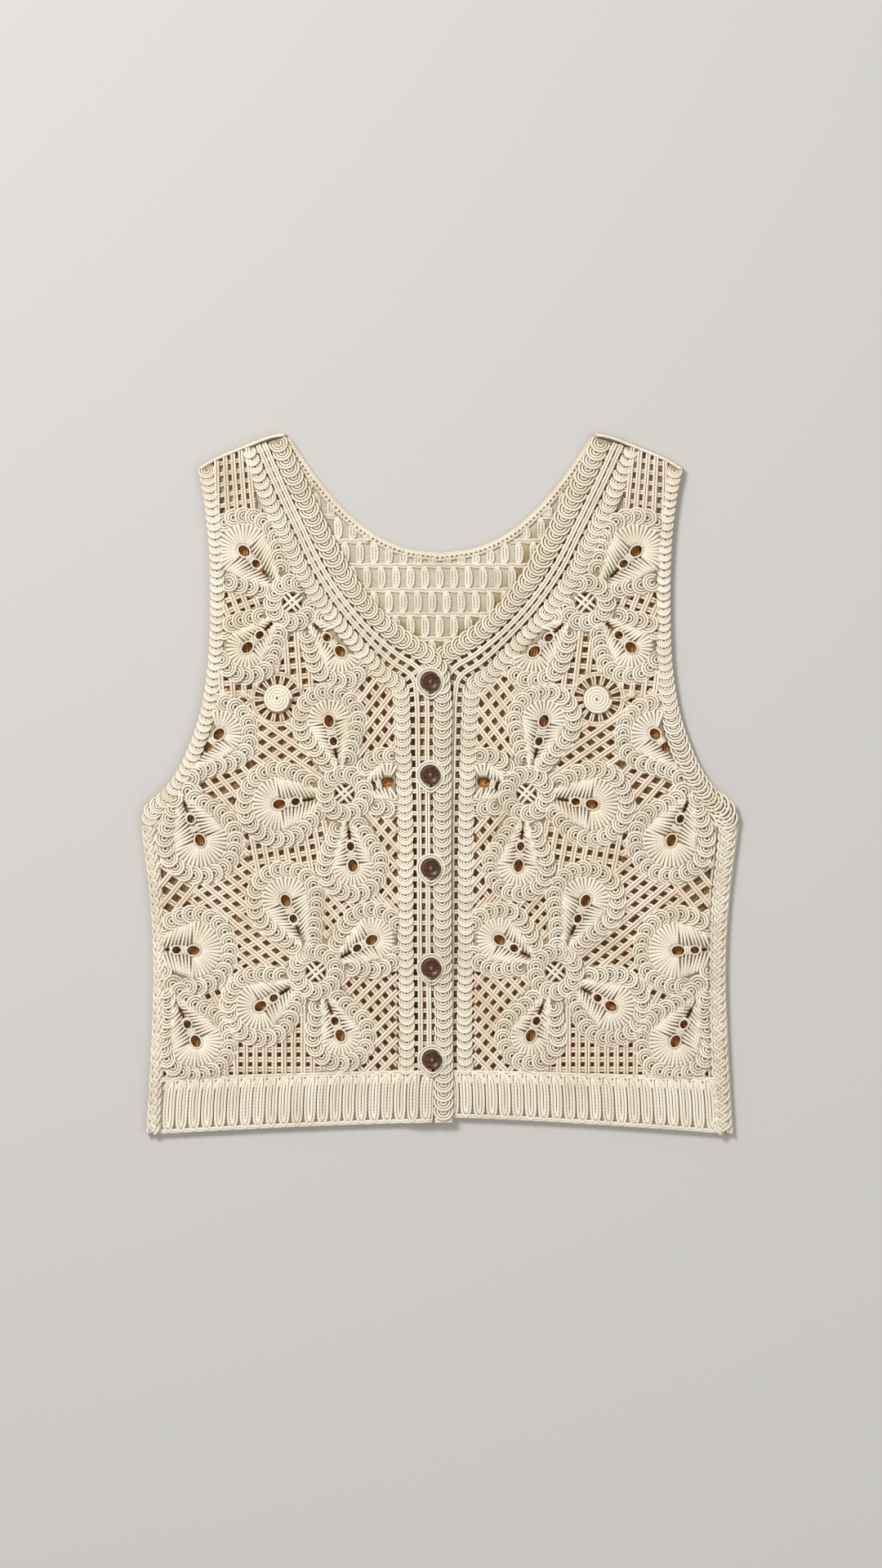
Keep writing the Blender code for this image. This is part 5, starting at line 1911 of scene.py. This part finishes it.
@dataclass
class Back:
    """The back: rows of tall stitches between wavy chains, with a bound neck and a plain hem band."""

    finishes: Finishes
    post_pitch: float = 11.2
    row_pitch: float = 18.9
    first_top: float = 439.7
    wall: float = 0.7

    def __post_init__(self) -> None:
        """Works out the back's outline."""
        half = smooth(BACK_NECK_HALF, 5)
        self.neck = np.vstack([half, np.column_stack([-half[-2::-1, 0], half[-2::-1, 1]])])
        runs = np.gradient(self.neck, axis=0)
        runs /= np.linalg.norm(runs, axis=1)[:, None]
        self.below_neck = self.neck + NECK_BINDING_WIDTH * np.stack([runs[:, 1], -runs[:, 0]], axis=1)
        left_arm, right_arm = outer_rows(Side.LEFT, ARMHOLE), outer_rows(Side.RIGHT, ARMHOLE)
        left_band, right_band = outer_rows(Side.LEFT, SIDE_BAND), outer_rows(Side.RIGHT, SIDE_BAND)
        xs = np.linspace(left_band[4, 2], right_band[4, 2], 30)
        hem = np.stack([xs, rib_top(xs)], axis=1)
        up = np.vstack([right_band[5:-1, 2:4], right_arm[:, 2:4]])
        down = np.vstack([left_arm[::-1, 2:4], left_band[5:-1][::-1, 2:4]])
        for end in (0, -1):
            self.below_neck[end, 1] = shoulder_at(self.below_neck[end, 0], SEAM_DEPTH)
        self.loop = np.vstack([hem, up, self.below_neck[::-1], down])
        self.v_left = across(band_rows(BORDER, 4), 0.0)
        self.v_right = to_side(Side.RIGHT, np.column_stack([self.v_left, np.zeros(len(self.v_left))]))[:, :2]
        holes = np.array([hole.mean(axis=0) for petal in PETALS for hole in petal.holes()[:2]])
        self.eyes = np.vstack([to_side(side, holes) for side in Side])

    def inside_neck(self, points: Array) -> Array:
        """How far each point lies from the fronts' edges into the open neck, and under nothing beneath them.

        Args:
            points: (..., 2) or (..., 3) points, in millimetres.

        Returns:
            Millimetres for each point.
        """
        left = np.interp(points[..., 1], self.v_left[:, 1], self.v_left[:, 0])
        right = np.interp(points[..., 1], self.v_right[:, 1], self.v_right[:, 0])
        return np.minimum(points[..., 0] - left, right - points[..., 0])

    def pale(self, points: Array) -> Array:
        """How much of the shade is lost: most of it at the shoulders, and half under the left ladder there.

        Args:
            points: (..., 2) or (..., 3) points, in millimetres.

        Returns:
            A share for each point.
        """
        shoulder = 0.9 * ramp(points[..., 1], 462.0, 480.0)
        ladder = 0.6 * ramp(points[..., 1], 392.0, 410.0) * ramp(-points[..., 0], 15.0, 35.0)
        return np.maximum(shoulder, ladder * ramp(self.inside_neck(points), -46.0, -38.0))

    def under_eyes(self, points: Array) -> Array:
        """How deep the painted shade is: full brown beneath the petals' holes, and olive beneath the nets.

        Args:
            points: (..., 2) or (..., 3) points, in millimetres.

        Returns:
            A share for each point.
        """
        away = np.full(points.shape[:-1], 99.0)
        for eye in self.eyes:
            away = np.minimum(away, np.linalg.norm(points[..., :2] - eye, axis=-1))
        return 1.0 - 0.36 * ramp(away, 7.0, 11.0)

    def post_shade(self, points: Array) -> Array:
        """The posts' painted shade: open cream in the neck."""
        shade = 1.0 - ramp(self.inside_neck(points), -4.0, -0.5)
        return shade * (1.0 - self.pale(points)) * self.under_eyes(points)

    def gap_shade(self, points: Array) -> Array:
        """The ground's painted shade seen between posts: beige in the neck, brown near the fronts and under
        them.

        Args:
            points: (..., 2) or (..., 3) points, in millimetres.

        Returns:
            A shade for each point.
        """
        open_neck = 0.25 * ramp(-points[..., 1], -428.0, -385.0)
        shade = np.maximum(1.0 - ramp(self.inside_neck(points), 0.0, 13.0), open_neck)
        return shade * (1.0 - self.pale(points)) * self.under_eyes(points)

    def lay_stitches(self, work: YarnWork, chains: YarnWork) -> None:
        """Works the posts, and the wavy chains between their rows.

        Args:
            work: takes the posts.
            chains: takes the chains.
        """
        tops = self.first_top + self.row_pitch * np.arange(5, -21, -1)
        for i, (y, below) in enumerate(zip(tops, tops[1:])):
            shift = 0.5 * self.post_pitch * (i % 2)
            xs = np.arange(-231, 231, self.post_pitch) + shift
            share = (1 - np.cos(math.pi * np.linspace(0, 1, 7))) / 2
            head = np.interp(xs, self.below_neck[:, 0], self.below_neck[:, 1], 999.0, 999.0) + 2.0
            xs, head = xs[head > below + 4.0], head[head > below + 4.0]
            rise = np.minimum(y - 0.8, head)[:, None] * (1 - share) + (below + 0.4) * share
            wide = 2.35 * (1 - np.abs(2 * share - 1) ** 5)
            lean = 1.2 * np.sin(math.pi * share)
            for sign, size in ((-1.0, 1.22), (0.0, 1.3), (1.0, 1.22)):
                plan = np.stack([xs[:, None] + lean + sign * wide, rise], axis=2)
                depth = depth_in(self.loop, plan)
                kept = (depth > -4.5).all(axis=1)
                plan, depth = plan[kept], depth[kept]
                if len(plan):
                    height = 1.75 - 0.15 * abs(sign - 1.0) - 0.45 * ramp(-depth, 0.0, 2.0)
                    work.lay(lifted(plan, height), size, sides=5)
            chain = np.arange(-229, 229, 2.8)
            bend = 1.3 * np.abs(np.sin((chain - shift) * math.pi / self.post_pitch))
            for drop, height in ((0.0, 1.8), (1.9, 1.6)):
                path = np.column_stack([chain, y + bend - drop, np.full(len(chain), height)])
                kept = depth_in(self.loop, path) > 0.3
                for start, stop in stretches(kept):
                    if stop - start > 3:
                        chains.lay(path[start:stop], 1.1, sides=5)

    def build(self) -> None:
        """Makes the back's panel, binding and hem band."""
        work = YarnWork("back_stitches", 91, self.post_shade)
        chains = YarnWork("back_chains", 92, self.post_shade)
        self.lay_stitches(work, chains)
        stitches = [work.build(self.finishes.back), chains.build(self.finishes.back)]

        def keep(points: Array) -> Array:
            """Keeps to the back's outline."""
            return inside(self.loop, points)

        plan, faces = plan_mesh([self.loop], keep, 6.0)
        faces = facing_up(plan, faces)
        points = lifted(plan, 1.5)
        shade = self.gap_shade(plan)
        base = add_shell("back_ground", points, faces, self.wall, self.finishes.back_ground, shade)
        dress((base, *stitches))
        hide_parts("back_panel")
        self.build_binding()
        self.build_hem()

    def build_binding(self) -> None:
        """The neck's bound edge: three cords with short upright stitches over them."""
        outer, inner = self.neck.copy(), self.below_neck.copy()
        outer[0, 1], outer[-1, 1] = inner[0, 1], inner[-1, 1]
        rows = np.column_stack([outer, inner])
        work = YarnWork("neck_binding_yarn", 93)
        for share, height in ((0.15, 1.5), (0.38, 1.8), (0.9, 1.7)):
            path = lifted(across(rows, share), height)
            work.lay(path, 1.2)
        stations, _ = along(np.column_stack([across(rows, 0.5), rows]), self.post_pitch / 3)
        share = np.linspace(0.3, 0.98, 5)
        down = share[None, :, None]
        plan = stations[:, None, 2:4] * (1 - down) + stations[:, None, 4:6] * down
        height = np.broadcast_to([1.6, 2.2, 2.3, 2.2, 1.6], plan.shape[:2])
        work.lay(lifted(plan, height), 1.15, sides=5)
        yarns = work.build(self.finishes.back)
        lines = [
            lifted(across(rows, share), 1.7) for share in (0.05, 0.5, 0.95)
        ]
        label = "neck_binding_ground"
        add_strip(label, lines, self.finishes.ground, "back_neck_binding", yarns)

    def build_hem(self) -> None:
        """The back's hem band, ribbed as the fronts are."""
        xs = np.linspace(-214.6, 214.6, 86)
        work = YarnWork("back_hem_yarn", 95)
        ribs = np.arange(-212.0, 212.1, RIB_PITCH / 2)
        share = np.linspace(0.03, 0.97, 8)
        bottom, top = hem_bottom(ribs, "back"), rib_top(ribs)
        y = bottom[:, None] * (1 - share) + top[:, None] * share
        plan = np.stack([np.broadcast_to(ribs[:, None], y.shape), y], axis=2)
        paths = lifted(plan, 1.65)
        work.pair(paths, 1.2, 2.4, sides=5)
        for part in (0.03, 0.985):
            line = hem_bottom(xs, "back") * (1 - part) + rib_top(xs) * part
            work.lay(np.column_stack([xs, line, np.full(len(xs), 1.5)]), 1.2)
        yarns = work.build(self.finishes.back)
        lines = []
        for part in (0.02, 0.5, 0.98):
            line = hem_bottom(xs, "back") * (1 - part) + rib_top(xs) * part
            lines.append(np.column_stack([xs, line, np.full(len(xs), 1.7)]))
        label = "back_hem_ground"
        add_strip(label, lines, self.finishes.ground, "back_hem_band", yarns)


@dataclass
class Buttons:
    """Five turned four-hole buttons, each in a round of yarn, sewn through its holes."""

    finishes: Finishes
    places: tuple[tuple[float, float], ...] = (
        (-7.6, 349.7),
        (-7.6, 277.8),
        (-7.2, 206.0),
        (-6.9, 129.2),
        (-6.3, 58.6),
    )
    radius: float = 7.3
    height: float = 4.0
    base: float = 10.3
    hole_radius: float = 0.8
    hole_reach: float = 1.9

    def profile(self) -> list[tuple[float, float]]:
        """The turned section from the rim in to the dish, and out under the edge.

        Returns:
            Radius and height for each point.
        """
        r, h = self.radius, self.height
        return [
            (0.0, 0.0),
            (0.72 * r, 0.0),
            (0.9 * r, 0.12 * h),
            (0.98 * r, 0.34 * h),
            (r, 0.52 * h),
            (0.985 * r, 0.74 * h),
            (0.93 * r, 0.92 * h),
            (0.85 * r, h),
            (0.76 * r, 0.97 * h),
            (0.68 * r, 0.86 * h),
            (0.6 * r, 0.76 * h),
            (0.5 * r, 0.71 * h),
            (0.0, 0.7 * h),
        ]

    def make_button(self, number: int, x: float, y: float) -> bpy.types.Object:
        """Turns one button and bores its holes.

        Args:
            number: counted down from the neck.
            x: across.
            y: up.

        Returns:
            The button.
        """
        name = f"horn_button_{number}"
        steps = 40
        profile = np.array(self.profile())[1:-1]
        turn = np.arange(steps) * 2 * math.pi / steps
        ring = unit(turn)
        points = [(0.0, 0.0, 0.0)]
        for r, h in profile:
            points += [(r * cx, r * cy, h) for cx, cy in ring]
        points.append((0.0, 0.0, 0.7 * self.height))
        last = len(points) - 1
        faces: list[tuple[int, ...]] = []
        for j in range(steps):
            k = (j + 1) % steps
            faces.append((0, 1 + k, 1 + j))
            for i in range(len(profile) - 1):
                a, b = 1 + i * steps, 1 + (i + 1) * steps
                faces.append((a + j, a + k, b + k, b + j))
            end = 1 + (len(profile) - 1) * steps
            faces.append((end + j, end + k, last))
        mesh = bpy.data.meshes.new(name)
        scaled = np.array(points) * MM
        mesh.from_pydata(scaled.tolist(), [], faces)
        mesh.materials.append(self.finishes.horn)
        made = bpy.data.objects.new(name, mesh)
        made.location = (x * MM, (y - LENGTH / 2) * MM, self.base * MM)
        bpy.context.scene.collection.objects.link(made)
        cutters = []
        for corner in range(4):
            angle = math.pi / 4 + corner * math.pi / 2
            bpy.ops.mesh.primitive_cylinder_add(vertices=14, radius=self.hole_radius * MM, depth=12 * MM)
            cutter = bpy.context.object
            cutter.location = (
                made.location[0] + self.hole_reach * MM * math.cos(angle),
                made.location[1] + self.hole_reach * MM * math.sin(angle),
                (self.base + 2.0) * MM,
            )
            cut = made.modifiers.new("hole", "BOOLEAN")
            cut.object = cutter
            cut.solver = "EXACT"
            cutters.append(cutter)
        bpy.context.view_layer.update()
        graph = bpy.context.evaluated_depsgraph_get()
        cut_mesh = bpy.data.meshes.new_from_object(made.evaluated_get(graph))
        made.modifiers.clear()
        made.data = cut_mesh
        for cutter in cutters:
            bpy.data.objects.remove(cutter, do_unlink=True)
        cut_mesh.shade_smooth()
        cut_mesh.set_sharp_from_angle(angle=math.radians(50))
        return made

    def yarn_round(self, work: YarnWork, x: float, y: float) -> None:
        """The buttonhole's loop of yarn round the button, drawn to a point below it.

        Args:
            work: takes the yarn.
            x: the button's place across.
            y: its place up.
        """
        turn = np.linspace(-math.pi / 2, 1.5 * math.pi, 44)
        for radius, height in ((8.6, 10.5), (10.6, 10.1)):
            pull = 1.0 + 0.22 * np.clip(np.cos((turn + math.pi / 2)), 0.0, 1.0) ** 6
            loop = np.stack([x + radius * np.cos(turn), y + radius * np.sin(turn) * pull], axis=1)
            work.lay(lifted(loop, height), 0.95)

    def thread(self, work: YarnWork, x: float, y: float) -> None:
        """Two crossed bars of thread through the four holes.

        Args:
            work: takes the thread.
            x: the button's place across.
            y: its place up.
        """
        top = self.base + 0.7 * self.height
        share = np.linspace(-1, 1, 7)
        for turn in (math.pi / 4, 3 * math.pi / 4):
            run = unit(turn)
            plan = np.array([x, y]) + np.outer(share * self.hole_reach, run)
            height = top + 0.45 - 0.9 * np.abs(share) ** 5
            work.lay(lifted(plan, height), 0.42, shade=0.9)

    def build(self) -> None:
        """Makes the buttons, their threads and the rounds of yarn."""
        rounds = YarnWork("button_rounds", 101)
        threads = YarnWork("button_threads", 103)
        for number, (x, y) in enumerate(self.places, start=1):
            button = self.make_button(number, x, y)
            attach(button, "root")
            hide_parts(f"button_{number}")
            self.yarn_round(rounds, x, y)
            self.thread(threads, x, y)
        for work in (rounds, threads):
            dress([work.build(self.finishes.yarn)])


@dataclass
class Studio:
    """A pale floor, soft light, and a camera straight above the vest."""

    finishes: Finishes
    photo_height: float = 1209.6
    aim: tuple[float, float] = (0.6, -0.3)
    top: float = 6.0
    lens: float = 85.0
    sensor: float = 36.0

    def build(self) -> None:
        """Makes the floor, lights, world and camera."""
        bpy.ops.mesh.primitive_plane_add(size=16.0, location=(0.0, 0.0, -0.0002))
        floor = bpy.context.object
        floor.name = "floor"
        floor.data.materials.append(self.finishes.floor)
        self.area_light("soft_key", (-1.6, 1.9, 2.5), 1.0, 92.0)
        self.area_light("soft_fill", (1.5, -0.9, 2.2), 1.8, 13.0)
        world = bpy.data.worlds.new("studio")
        bpy.context.scene.world = world
        world.use_nodes = True
        world.node_tree.nodes["Background"].inputs["Color"].default_value = linear("#f4f2ee")
        world.node_tree.nodes["Background"].inputs["Strength"].default_value = 0.46
        data = bpy.data.cameras.new("camera")
        data.lens, data.sensor_width = self.lens, self.sensor
        data.clip_start, data.clip_end = 0.1, 20.0
        camera = bpy.data.objects.new("camera", data)
        distance = self.lens / self.sensor * self.photo_height * MM
        camera.location = (self.aim[0] * MM, self.aim[1] * MM, distance + self.top * MM)
        bpy.context.scene.collection.objects.link(camera)
        bpy.context.scene.camera = camera
        bpy.context.scene.view_settings.view_transform = "Standard"
        bpy.context.scene.view_settings.look = "None"

    def area_light(self, name: str, place: tuple[float, float, float], size: float, power: float) -> None:
        """Adds a square light that looks at the vest.

        Args:
            name: the light's name.
            place: in metres.
            size: side in metres.
            power: watts.
        """
        data = bpy.data.lights.new(name, "AREA")
        data.size, data.energy = size, power
        light = bpy.data.objects.new(name, data)
        light.location = place
        back = np.array(place) / np.linalg.norm(place)
        light.rotation_euler = (math.acos(back[2]), 0.0, math.atan2(back[0], -back[1]))
        bpy.context.scene.collection.objects.link(light)


def main() -> None:
    """Builds the vest and its stage."""
    finishes = Finishes()
    Studio(finishes).build()
    Back(finishes).build()
    for side in Side:
        FrontLace(side, finishes).build()
        Rosette(side, finishes).build()
        Border(side, finishes).build()
        HemRibs(side, finishes).build()
        ArmholeTape(side, finishes).build()
        SideBand(side, finishes).build()
        ShoulderSeam(side, finishes).build()
    Buttons(finishes).build()


if __name__ == "__main__":
    logging.basicConfig(level=logging.INFO)
    main()
